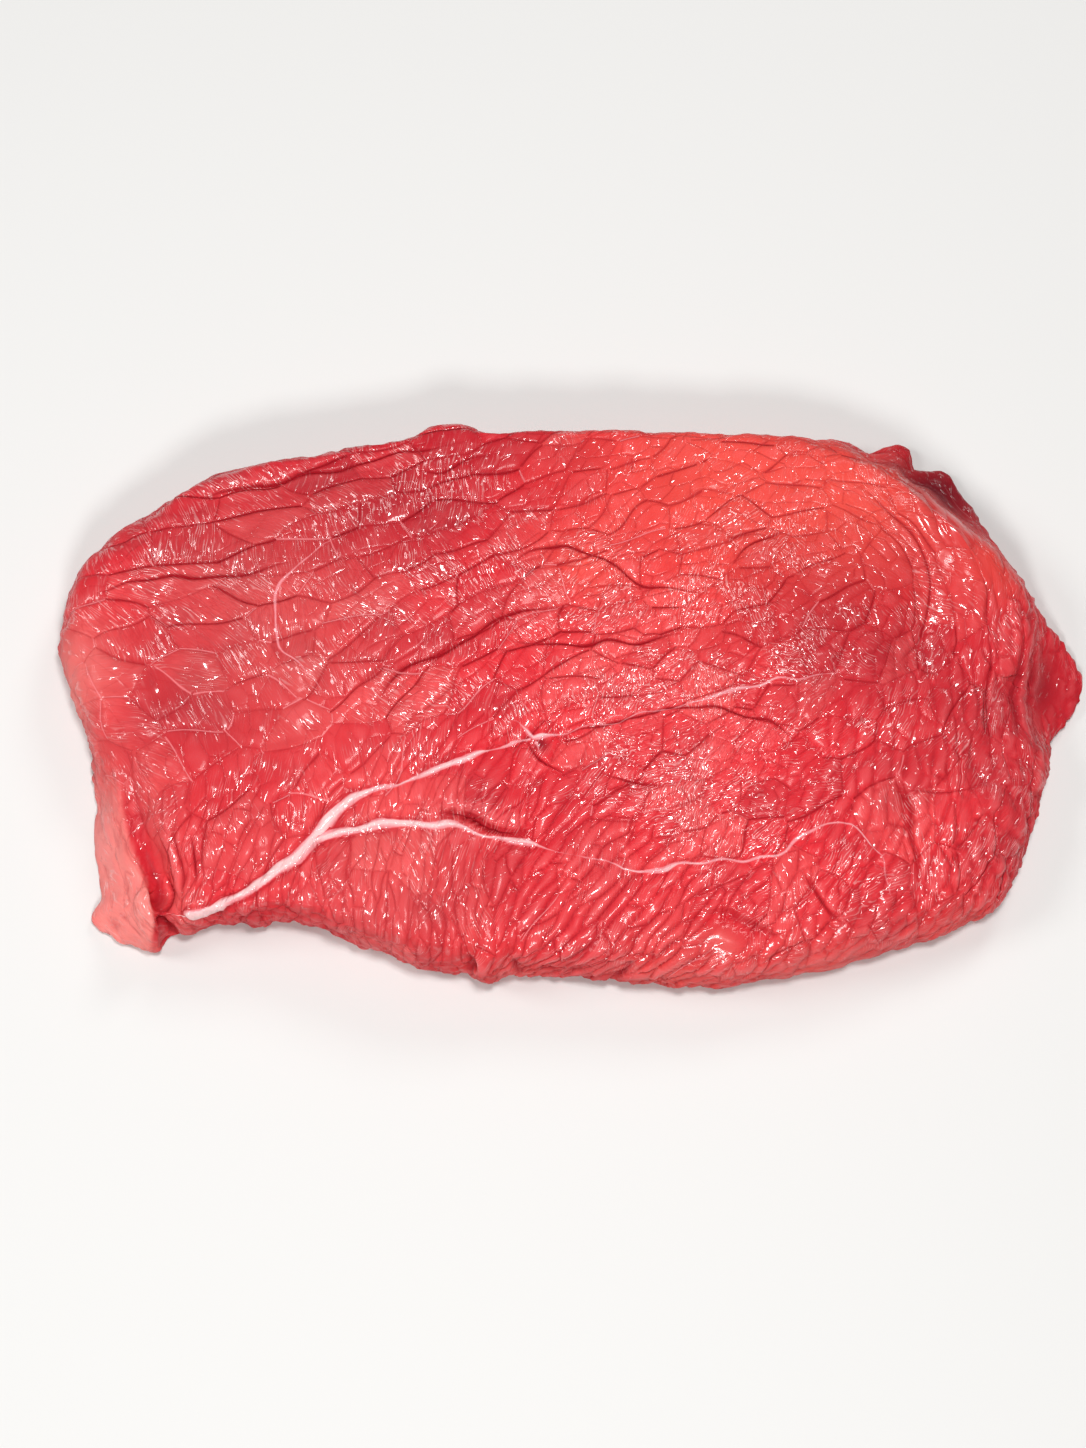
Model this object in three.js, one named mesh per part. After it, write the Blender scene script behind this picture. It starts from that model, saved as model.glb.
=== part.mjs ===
// Raw rump steak: one thick slice of beef that lies flat with its best cut face up.
// Millimetres. +Z is up, +X runs along the slice from its narrow torn end, and +Y crosses it.
// The origin is on the board, under the middle of the slice's box.

import * as THREE from "three";

// Driving dimensions
const LENGTH = 210;
const WIDTH = 118.5;
const THICKNESS = 17;

// The side wall, from the rim of the cut face down to the board
const WAIST = 0.33; // height of the widest line, as a share of the rim's height
const TUCK = 1.5; // the foot lies this far inside the widest line
const SKIRT_THICKNESS = 4; // thin under-layer that shows past the rim where the slice is ragged
const SKIRT_SLOPE = 0.7; // share of the shoulder over which the wall falls to the skirt
const CUT_FOOT = 0.07; // height left at the foot of a knife-cut side, as a share of the rim's height
const CUT_CROWN = 0.08; // how far a knife-cut side bulges, as a share of the rim's height
const RIM_SMOOTHING = 14; // passes that even out the rim behind a ragged outline

// Mesh counts
const LONG_CELLS = 80; // across the cut face, along the near and far edges
const SHORT_CELLS = 42; // across the cut face, along the left and right edges
const SHOULDER_RINGS = 5; // from the rim to the widest line
const FOOT_RINGS = 2; // from the widest line to the board
const CURVE_STEPS = 40; // samples between two outline points
const VALLEY_STEPS = 24; // straight stretches along one valley

// Outline of the widest line as [x, y, shoulder]: the rim lies one shoulder inside it.
const NEAR_EDGE = [
  [-85.5, -51.5, 7], [-79, -47.7, 3], [-63, -45.5, 2], [-51, -45.8, 2.5], [-33, -53.8, 3.5],
  [-4, -56, 5], [27, -58.5, 8], [52, -55, 11], [73, -48.8, 13],
];
const RIGHT_EDGE = [
  [86, -42, 13], [92, -31, 15], [98.3, -9.5, 16], [101.3, 4, 16], [96.3, 17.5, 9], [91.3, 28.5, 6],
];
const FAR_EDGE = [
  [86.5, 35.2, 8], [82.5, 43, 10], [68, 51, 10], [52, 54.8, 5], [15, 56.5, 2.5],
  [-16, 55.3, 2.5], [-40, 53.3, 3], [-64, 49.3, 4], [-81, 42.8, 5.5],
];
const LEFT_EDGE = [
  [-95, 33.3, 7.5], [-101.5, 24, 8], [-103.7, 10, 7], [-99, -4, 5],
  [-96.2, -17, 8], [-96, -27, 11], [-95, -38, 12], [-94.2, -46.3, 12],
];

// Flaps, scraps and knobs that stand out from the outline as [x, y, reach outwards, half width]
const TABS = [
  [-25, 55.5, 3.6, 8], // knob on the rolled far edge
  [57, 55, 1.2, 5], // ragged scraps of the far right corner
  [68, 51.5, 4.5, 4.5],
  [77, 47, 2.5, 5],
  [101, 4, 4, 12], // flap at the right end
  [-95.5, -43.5, 1.4, 4], // nub on the torn end
  [-62, -46, 1.3, 3.5], // small lobes of the near edge
  [-43, -51, 0.8, 5],
  [-17, -57, 1.3, 4],
];
const NOTCH_SHARE = 0.6; // how far a crease bites into the outline, as a share of its depth

// Stretches of wall that aren't a plain round shoulder, as [x, y, reach]
const SKIRTS = [[74, 49, 20], [104, 4, 14]];
const KNIFE_CUTS = [[-97, -32, 22]];

// Broad swells and hollows of the cut face as [x, y, radius, rise]
const SWELLS = [
  [55, 18, 26, 1.8], [75, 14, 11, -1.6], [84, 2, 22, -3], [72, 36, 15, 1], [16, 46, 30, -0.8],
  [-28, -45, 18, 1.6], [-19, -20, 14, 1.4], [30, -20, 26, 1.1], [57, -41, 16, 1.2],
  [-76, -2, 24, -1.2], [-83.5, -39, 9, -3.2], [-60, 30, 26, 0.7],
];

// Valleys along the fat seams, the folds and the deepest creases: a depth, a half width and a path
const VALLEYS = [
  [1.4, 2.6, [[-75.5, -46.5], [-56, -34], [-45, -23], [-26, -15.5], [-9, -10]]], // upper fat seam
  [0.7, 2.2, [[-9, -10], [16, -4.5], [38, 1.5], [54.5, 4]]], // and the thin line it runs out to
  [1.7, 2.6, [[-52, -31], [-34, -27.5], [-16, -30], [-6, -31.5]]], // lower fat seam
  [0.7, 2.2, [[-6, -31.5], [14, -37], [40, -34], [53, -27.5], [61, -33], [63.5, -42]]], // and its line
  [1.5, 2.2, [[-76, 39.5], [-49.5, 47], [-24, 52.5]]], // behind the rolled far edge
  [2.2, 3, [[-91, -11.5], [-86.5, -23], [-80.5, -44.5]]], // torn pocket beside the knife-cut end
  [1.2, 2.4, [[57.5, 44.5], [67.5, 36], [73, 24], [68, 6.5]]], // fold round the thick right muscle
  [1.2, 2.4, [[87.5, 19], [87, 0], [87, -21]]], // folds of the right shoulder
  [1.3, 2.4, [[67, -22], [70, -42]]],
  [1.4, 2.4, [[23.5, -44.5], [33.5, -45.5], [42.5, -52.5]]], // step in the near edge
  [1, 2.4, [[-39, -2], [-26.5, 7.5], [-10.5, 17], [0, 18]]], // longest crease of the middle
];

// Grain of the meat as [x, y, direction in degrees, bundle length, bundle width]
const GRAIN = [
  [-75.5, 25, 8, 24, 6.5], [-31, 38, 14, 20, 6.5], [10, 42, 25, 16, 7.5], [47, 44.5, -5, 14, 7],
  [70, 27.5, -60, 14, 7], [14, 10.5, 14, 15, 8], [55, 17, 60, 10, 8.5], [-81, 0, -15, 11, 8.5],
  [-58.5, -6, 25, 12, 9], [-24.5, 8.5, 38, 16, 7], [-72, -29, 68, 14, 7], [-22, -21, 62, 13, 6],
  [-32, -45, 95, 13, 6], [6, -47, 45, 13, 6], [30, -18.5, 28, 10, 8.5], [53.5, -41, 60, 12, 7],
  [76, -27, 85, 15, 6.5], [85, 2, 95, 16, 6.5],
];
const GRAIN_REACH = 16; // how far one row of the grain holds before its neighbours take over
const BUNDLE_SEED = 7;
const BUNDLE_TRIES = 6000; // places tried for a bundle of fibres
const BUNDLE_SPACING = 0.86; // least distance between two bundles, in bundle lengths and widths
const CREASE_DEPTH = 0.95; // between two bundles
const CREASE_REACH = 1.7; // half width of a crease
const BUNDLE_RISE = 0.5; // how much one bundle may stand above another

const TINY = 1e-6; // keeps a division from a zero

const radians = THREE.MathUtils.degToRad;
const bell = (distance, reach) => Math.exp(-((distance / reach) ** 2));
const plateau = (distance, reach) => Math.exp(-((distance / reach) ** 4));

// Even random numbers from 0 to 1, the same on every run
function seededDraw(seed) {
  let state = seed;
  return () => {
    state = (state * 1664525 + 1013904223) % 4294967296;
    return state / 4294967296;
  };
}

// Closed outline with its tabs, fitted to LENGTH by WIDTH, sampled evenly along each of the four edges
function sampleOutline() {
  const edges = [NEAR_EDGE, RIGHT_EDGE, FAR_EDGE, LEFT_EDGE];
  const points = edges.flat().map((point) => new THREE.Vector3(...point));
  const curve = new THREE.CatmullRomCurve3(points, true, "centripetal");
  curve.arcLengthDivisions = points.length * CURVE_STEPS;
  const lengths = curve.getLengths();
  const cells = [LONG_CELLS, SHORT_CELLS, LONG_CELLS, SHORT_CELLS];
  const loop = [];
  let first = 0;
  edges.forEach((edge, side) => {
    const from = lengths[first * CURVE_STEPS] / lengths.at(-1);
    first += edge.length;
    const to = lengths[first * CURVE_STEPS] / lengths.at(-1);
    for (let i = 0; i < cells[side]; i++) {
      loop.push(curve.getPointAt(from + ((to - from) * i) / cells[side]));
    }
  });
  return fitToBox(roughenOutline(loop));
}

// Unit vector across the loop at one point, towards the inside
function inwards(loop, index) {
  const count = loop.length;
  const before = loop[(index + count - 1) % count];
  const after = loop[(index + 1) % count];
  return new THREE.Vector3(before.y - after.y, after.x - before.x, 0).normalize();
}

// Tabs moved out from a loop, and notches moved in where the creases run over its edge
function roughenOutline(loop) {
  return loop.map((point, index) => {
    const inside = inwards(loop, index);
    const notch = -NOTCH_SHARE * Math.min(bundleRelief(point.x, point.y), 0);
    const moved = point.clone().addScaledVector(inside, notch);
    for (const [x, y, reach, half] of TABS) {
      const away = Math.hypot(point.x - x, point.y - y);
      const share = Math.max(0, 1 - away / half);
      moved.addScaledVector(inside, -reach * share * (2 - share));
    }
    return moved;
  });
}

function fitToBox(loop) {
  const box = new THREE.Box3().setFromPoints(loop);
  const size = box.getSize(new THREE.Vector3());
  const middle = box.getCenter(new THREE.Vector3());
  return loop.map(
    ({ x, y, z }) =>
      new THREE.Vector3(((x - middle.x) * LENGTH) / size.x, ((y - middle.y) * WIDTH) / size.y, z),
  );
}

// Rim of the cut face: the outline, evened out and moved in by its shoulder
function rimOf(loop) {
  let smooth = loop;
  for (let pass = 0; pass < RIM_SMOOTHING; pass++) {
    smooth = smooth.map((point, index) => {
      const before = smooth[(index + smooth.length - 1) % smooth.length];
      const after = smooth[(index + 1) % smooth.length];
      return point.clone().multiplyScalar(2).add(before).add(after).divideScalar(4);
    });
  }
  return smooth.map((point, index) => {
    const shoulder = point.z;
    return point.clone().addScaledVector(inwards(smooth, index), shoulder).setZ(0);
  });
}

// Direction, length and width of the bundles at a place, blended from the rows of GRAIN
function grainAt(x, y) {
  let weights = 0;
  let cosine = 0;
  let sine = 0;
  let length = 0;
  let width = 0;
  for (const [gx, gy, direction, bundleLength, bundleWidth] of GRAIN) {
    const weight = bell(Math.hypot(x - gx, y - gy), GRAIN_REACH) + TINY;
    weights += weight;
    cosine += weight * Math.cos(2 * radians(direction));
    sine += weight * Math.sin(2 * radians(direction));
    length += weight * bundleLength;
    width += weight * bundleWidth;
  }
  const angle = Math.atan2(sine, cosine) / 2;
  return { cos: Math.cos(angle), sin: Math.sin(angle), length: length / weights, width: width / weights };
}

// Place (dx, dy) from a bundle's middle, in bundle lengths along the grain and widths across it
function inBundle({ cos, sin, length, width }, dx, dy) {
  return [(dx * cos + dy * sin) / length, (dy * cos - dx * sin) / width];
}

// Middles of the bundles of fibres, spread over the slice as densely as their spacing allows
function spreadBundles() {
  const draw = seededDraw(BUNDLE_SEED);
  const bundles = [];
  for (let i = 0; i < BUNDLE_TRIES; i++) {
    const x = (draw() - 0.5) * LENGTH;
    const y = (draw() - 0.5) * WIDTH;
    const rise = draw() - 0.5;
    const grain = grainAt(x, y);
    const clear = bundles.every(
      (other) => Math.hypot(...inBundle(grain, other.x - x, other.y - y)) > BUNDLE_SPACING,
    );
    if (clear) bundles.push({ ...grain, x, y, rise });
  }
  return bundles;
}

const bundles = spreadBundles();

// Height that the bundles add at a place: each its own rise, with a crease where two of them meet
function bundleRelief(x, y) {
  let nearest = { distance: Infinity };
  let second = { distance: Infinity };
  for (const bundle of bundles) {
    const [along, across] = inBundle(bundle, x - bundle.x, y - bundle.y);
    const distance = Math.hypot(along, across);
    if (distance >= second.distance) continue;
    const found = { bundle, distance, along, across };
    if (distance < nearest.distance) [second, nearest] = [nearest, found];
    else second = found;
  }
  const gap = (second.distance - nearest.distance) / slopeBetween(nearest, second);
  const rise = nearest.bundle.rise * BUNDLE_RISE * (1 - bell(gap, CREASE_REACH));
  return rise - CREASE_DEPTH * bell(gap, CREASE_REACH);
}

// How fast the difference of two bundle distances changes, for each millimetre
function slopeBetween(one, other) {
  const [ax, ay] = distanceSlope(one);
  const [bx, by] = distanceSlope(other);
  return Math.hypot(ax - bx, ay - by) + TINY;
}

function distanceSlope({ bundle, distance, along, across }) {
  const a = along / bundle.length / (distance + TINY);
  const b = across / bundle.width / (distance + TINY);
  return [a * bundle.cos - b * bundle.sin, a * bundle.sin + b * bundle.cos];
}

const valleys = VALLEYS.map(([depth, half, path]) => ({
  depth,
  half,
  path: new THREE.SplineCurve(path.map((point) => new THREE.Vector2(...point))).getSpacedPoints(VALLEY_STEPS),
}));

function distanceToPath(path, x, y) {
  const place = new THREE.Vector3(x, y, 0);
  const stretch = new THREE.Line3();
  const foot = new THREE.Vector3();
  let least = Infinity;
  for (let i = 1; i < path.length; i++) {
    stretch.start.set(path[i - 1].x, path[i - 1].y, 0);
    stretch.end.set(path[i].x, path[i].y, 0);
    least = Math.min(least, stretch.closestPointToPoint(place, true, foot).distanceTo(place));
  }
  return least;
}

// Height of the slice without its creases
function bodyHeight(x, y) {
  return SWELLS.reduce(
    (height, [sx, sy, radius, rise]) => height + rise * bell(Math.hypot(x - sx, y - sy), radius),
    THICKNESS,
  );
}

// Creases, valleys and the uneven bundles, above or below the body's height
function reliefHeight(x, y) {
  const carved = valleys.map(({ depth, half, path }) => -depth * bell(distanceToPath(path, x, y), half));
  return bundleRelief(x, y) + Math.min(...carved);
}

// Grid over the cut face, stretched between the four edges of its rim
function faceGrid(rim) {
  const right = LONG_CELLS;
  const far = right + SHORT_CELLS;
  const left = far + LONG_CELLS;
  const edgePoint = (index) => rim[index % rim.length];
  const grid = [];
  for (let j = 0; j <= SHORT_CELLS; j++) {
    for (let i = 0; i <= LONG_CELLS; i++) {
      const u = i / LONG_CELLS;
      const v = j / SHORT_CELLS;
      const place = new THREE.Vector3()
        .addScaledVector(edgePoint(i), 1 - v)
        .addScaledVector(edgePoint(left - i), v)
        .addScaledVector(edgePoint(rim.length - j), 1 - u)
        .addScaledVector(edgePoint(right + j), u)
        .addScaledVector(edgePoint(0), -(1 - u) * (1 - v))
        .addScaledVector(edgePoint(right), -u * (1 - v))
        .addScaledVector(edgePoint(far), -u * v)
        .addScaledVector(edgePoint(left), -(1 - u) * v);
      grid.push(place.setZ(bodyHeight(place.x, place.y) + reliefHeight(place.x, place.y)));
    }
  }
  return grid;
}

// Grid indices round the rim, in the order of the outline
function rimIndices() {
  const row = LONG_CELLS + 1;
  const indices = [];
  for (let i = 0; i < LONG_CELLS; i++) indices.push(i);
  for (let j = 0; j < SHORT_CELLS; j++) indices.push(j * row + LONG_CELLS);
  for (let i = LONG_CELLS; i > 0; i--) indices.push(SHORT_CELLS * row + i);
  for (let j = SHORT_CELLS; j > 0; j--) indices.push(j * row);
  return indices;
}

// Share of the shoulder's width and of the rim's height, at a share of the way from rim to widest line
function shoulderProfile(share, rimHeight, skirt, cut) {
  const turn = (share * Math.PI) / 2;
  const round = [Math.sin(turn), WAIST + (1 - WAIST) * Math.cos(turn)];
  const knife = [share, 1 - (1 - CUT_FOOT) * share + CUT_CROWN * Math.sin(share * Math.PI)];
  const thin = SKIRT_THICKNESS / rimHeight;
  const fall = 0.5 + 0.5 * Math.cos(Math.PI * Math.min(share / SKIRT_SLOPE, 1));
  const edge = THREE.MathUtils.smoothstep(share, SKIRT_SLOPE, 1);
  const flared = [share, (thin + (1 - thin) * fall) * (1 - edge / 2)];
  const plain = 1 - Math.min(1, skirt + cut);
  return [0, 1].map((k) => plain * round[k] + skirt * flared[k] + cut * knife[k]);
}

const nearAny = (places, x, y) =>
  Math.max(...places.map(([px, py, reach]) => plateau(Math.hypot(x - px, y - py), reach)));

// Rings of the wall below the rim, each as long as the outline, down to the foot on the board
function wallRings(outline, rim) {
  const count = SHOULDER_RINGS + FOOT_RINGS;
  const rings = Array.from({ length: count }, () => []);
  outline.forEach((edge, index) => {
    const top = rim[index];
    const rimHeight = bodyHeight(top.x, top.y);
    const skirt = nearAny(SKIRTS, edge.x, edge.y);
    const cut = nearAny(KNIFE_CUTS, edge.x, edge.y);
    for (let ring = 1; ring <= SHOULDER_RINGS; ring++) {
      const share = ring / SHOULDER_RINGS;
      const [out, up] = shoulderProfile(share, rimHeight, skirt, cut);
      const place = top.clone().lerp(edge, out);
      const relief = reliefHeight(place.x, place.y) * (1 - share);
      rings[ring - 1].push(place.setZ(rimHeight * up + relief));
    }
    const waist = rings[SHOULDER_RINGS - 1][index];
    for (let ring = 1; ring <= FOOT_RINGS; ring++) {
      const turn = ((ring / FOOT_RINGS) * Math.PI) / 2;
      const place = waist.clone().addScaledVector(inwards(outline, index), TUCK * (1 - Math.cos(turn)));
      rings[SHOULDER_RINGS + ring - 1].push(place.setZ(waist.z * (1 - Math.sin(turn))));
    }
  });
  rings.at(-1).forEach((place) => place.setZ(0));
  return rings;
}

// Two triangles for a quad, split along its shorter diagonal
function splitQuad(vertices, a, b, c, d) {
  const across = vertices[a].distanceTo(vertices[c]) <= vertices[b].distanceTo(vertices[d]);
  return across ? [a, b, c, a, c, d] : [a, b, d, b, c, d];
}

function steakGeometry() {
  const outline = sampleOutline();
  const rim = rimOf(outline);
  const vertices = faceGrid(rim);
  const triangles = [];
  const row = LONG_CELLS + 1;
  for (let j = 0; j < SHORT_CELLS; j++) {
    for (let i = 0; i < LONG_CELLS; i++) {
      const corner = j * row + i;
      triangles.push(...splitQuad(vertices, corner, corner + 1, corner + row + 1, corner + row));
    }
  }
  let above = rimIndices();
  for (const ring of wallRings(outline, rim)) {
    const below = ring.map((place) => vertices.push(place) - 1);
    above.forEach((corner, index) => {
      const next = (index + 1) % above.length;
      triangles.push(...splitQuad(vertices, corner, below[index], below[next], above[next]));
    });
    above = below;
  }
  const foot = above.map((index) => new THREE.Vector2(vertices[index].x, vertices[index].y));
  for (const [a, b, c] of THREE.ShapeUtils.triangulateShape(foot, [])) {
    triangles.push(above[a], above[c], above[b]);
  }
  const geometry = new THREE.BufferGeometry().setFromPoints(vertices).setIndex(triangles);
  geometry.computeVertexNormals();
  return geometry;
}

const meat = new THREE.MeshStandardMaterial({ color: 0xe0585b, roughness: 0.35, metalness: 0 });
const steak = new THREE.Mesh(steakGeometry(), meat);
steak.name = "steak";

const part = new THREE.Group();
part.add(steak);
export default part;
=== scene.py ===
"""Dresses a raw rump steak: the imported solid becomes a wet, creased slice of beef in a plain studio.

Lengths are millimetres until they are handed to Blender, which works in metres.
"""

from __future__ import annotations

import logging
import math
from collections.abc import Callable, Iterator
from dataclasses import dataclass, field
from enum import Enum
from typing import Any, NamedTuple

import bpy
import numpy as np
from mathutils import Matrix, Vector
from mathutils.geometry import delaunay_2d_cdt

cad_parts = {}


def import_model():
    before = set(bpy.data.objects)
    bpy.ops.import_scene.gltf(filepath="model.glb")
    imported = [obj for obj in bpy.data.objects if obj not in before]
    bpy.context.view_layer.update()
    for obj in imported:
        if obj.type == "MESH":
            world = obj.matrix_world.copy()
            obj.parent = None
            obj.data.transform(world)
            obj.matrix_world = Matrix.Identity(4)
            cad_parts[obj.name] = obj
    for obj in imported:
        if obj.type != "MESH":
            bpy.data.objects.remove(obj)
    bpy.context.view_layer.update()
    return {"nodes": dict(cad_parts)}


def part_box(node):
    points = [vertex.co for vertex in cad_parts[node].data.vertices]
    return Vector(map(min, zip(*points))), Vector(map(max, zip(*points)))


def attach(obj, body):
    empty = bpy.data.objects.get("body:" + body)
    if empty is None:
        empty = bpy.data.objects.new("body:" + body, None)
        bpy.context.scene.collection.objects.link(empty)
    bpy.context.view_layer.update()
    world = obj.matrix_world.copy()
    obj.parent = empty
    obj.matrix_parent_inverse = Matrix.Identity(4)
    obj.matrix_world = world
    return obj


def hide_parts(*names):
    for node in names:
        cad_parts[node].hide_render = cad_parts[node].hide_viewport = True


Tree = bpy.types.NodeTree
Socket = bpy.types.NodeSocket
Point = tuple[float, float]
Row = tuple[float, float, float]
Pair = tuple[np.ndarray, np.ndarray]
Inputs = dict[int | str, Any] | tuple[Any, ...]

LOG = logging.getLogger("rump_steak")
MM = 0.001
NODE = "steak"
BODY = "root"
PIECE = "steak_meat"
NEAR_ZERO = 1e-6
FAR_AWAY = 99.0  # stands for every distance that is too long to count
DRAW_FACTOR, DRAW_STEP, DRAW_SPAN = 1664525, 1013904223, 4294967296  # make a row of even random numbers
SCRAMBLE_PACE, SCRAMBLE_SPAN = 417.3, 43758.5  # turn the random numbers of two bundles into one
MIX_SHARE, MIX_UNDER, MIX_OVER, MIX_RESULT = 0, 6, 7, 2  # sockets of a node that mixes two colours
WAVE_LEAST, WAVE_RANGE = 0.6, 0.8  # shortest of the crossed waves, and how much longer they get


class Field(Enum):
    """What the mesh stores for its finish to read."""

    FIBRE = "fibre"  # millimetres along and across the fine fibres, and how far these stand up
    # The creases that GAPS and FIRM place are carved, and also painted dark as shade.
    GAPS = "gaps"  # signed millimetres to the nearest bundle crease, strand crease and long crease
    FIRM = "firm"  # how strong these three creases are, and whether a membrane lies in the first
    FAT = "fat"  # signed millimetres to the nearest fat seam's middle, its half width, the way along it
    # The tone's pale share holds painted highlights and its deep share painted shade, besides the meat's
    # own tones.
    TONE = "tone"  # shares of pale, coral and deep meat
    # RELIEF also sets painted shade in hollows and painted highlights on raised places
    RELIEF = "relief"  # millimetres above what lies around, negative in a hollow
    SHINE = "shine"  # share of an unbroken film of juice
    SLOPE = "slope"  # share of the juice that the slope holds


class Grain(NamedTuple):
    """How the meat lies around one place of the cut face, in millimetres and degrees."""

    x: float
    y: float
    direction: float  # of the long bundles
    length: float
    width: float
    run: float  # direction of the strands inside a bundle
    strand_length: float
    strand_width: float
    swell: float  # how far one strand stands up
    line: float  # how dark the painted shade in the creases between the strands is
    fibre: float  # direction of the fine fibres
    ratio: float  # a fine fibre's length in widths
    fine: float  # how strongly the fine fibres stand up
    firm: float  # how deep the creases between the bundles are, and how dark their painted shade is
    tilt: float  # how far one side of a bundle may stand above the other
    membrane: float  # share of the creases that carry a pale membrane


GRAIN = (
    Grain(-75.5, 25, 8, 18, 5.5, 8, 9, 4, 0.06, 0.15, 125, 3.0, 0.75, 1.0, 0.5, 0.03),
    Grain(-31, 38, 15, 14, 5.5, 16, 8, 4, 0.06, 0.2, 120, 2.8, 0.65, 0.95, 0.5, 0.05),
    Grain(10, 42, 27, 10, 5, 30, 6, 3, 0.05, 0.4, 70, 1.5, 0.25, 0.75, 0.4, 0.05),
    Grain(47, 44.5, -5, 10, 5, -5, 6, 3, 0.05, 0.4, 80, 1.5, 0.2, 0.75, 0.4, 0.03),
    Grain(70, 27.5, -60, 13, 6, -55, 7, 3, 0.12, 0.3, -55, 2.5, 0.3, 0.7, 0.5, 0.05),
    Grain(14, 10.5, 14, 9, 5.5, 20, 6, 3, 0.1, 0.4, 60, 1.5, 1.0, 0.9, 0.8, 0.03),
    Grain(55, 17, 40, 8, 6, 30, 5, 3, 0.1, 0.4, 150, 1.5, 0.65, 0.8, 0.8, 0.04),
    Grain(-81, 0, -15, 9, 6.5, 155, 6, 4, 0.05, 0.15, 155, 4.0, 0.2, 0.4, 1.4, 0.4),
    Grain(-58.5, -6, 25, 9, 6, 100, 6, 4, 0.05, 0.2, 100, 4.0, 0.2, 0.48, 1.4, 0.35),
    Grain(-24.5, 8.5, 38, 14, 5.5, 42, 8, 3, 0.12, 0.35, 125, 2.0, 0.45, 1.1, 0.9, 0.25),
    Grain(-72, -29, 68, 12, 6, 70, 8, 2.4, 0.2, 0.45, 70, 2.5, 0.3, 0.8, 0.9, 0.15),
    Grain(-103, -40, -55, 14, 6, -55, 13, 3.6, 0.26, 0.03, -55, 3.0, 0.3, 0.22, 1.3, 0.0),
    Grain(-22, -21, 62, 12, 6, 62, 9, 2.2, 0.24, 0.45, 62, 3.0, 0.3, 0.5, 0.4, 0.08),
    Grain(-32, -45, 95, 12, 6, 93, 9, 2.2, 0.22, 0.4, 93, 4.0, 0.25, 0.45, 0.4, 0.05),
    Grain(6, -47, 50, 16, 6, 50, 10, 2.3, 0.55, 0.5, 50, 3.0, 0.2, 0.4, 0.3, 0.05),
    Grain(30, -18.5, 28, 8, 6, 35, 5, 3, 0.1, 0.4, 30, 1.5, 1.0, 0.85, 0.8, 0.03),
    Grain(53.5, -41, 60, 11, 6.5, 55, 7, 2.8, 0.35, 0.45, 55, 2.0, 0.35, 0.8, 0.7, 0.05),
    Grain(76, -27, 75, 12, 7.5, 85, 9, 3.2, 0.5, 0.08, 85, 3.0, 0.5, 0.72, 1.5, 0.0),
    Grain(70, -6, 20, 11, 7, 85, 8, 3.2, 0.3, 0.08, 60, 2.0, 0.45, 0.65, 1.5, 0.0),
    Grain(91, 3, 95, 12, 6.5, 95, 7, 3, 0.55, 0.1, 95, 3.5, 0.5, 0.6, 1.2, 0.0),
)


class Crease(NamedTuple):
    """One long crease of the cut face: a carved line with one lip higher than the other."""

    depth: float
    half_width: float
    step: float  # rise of the lip on the left of the path's run
    # dark: how strong the painted shade along the crease is
    dark: float
    path: tuple[Point, ...]


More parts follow.
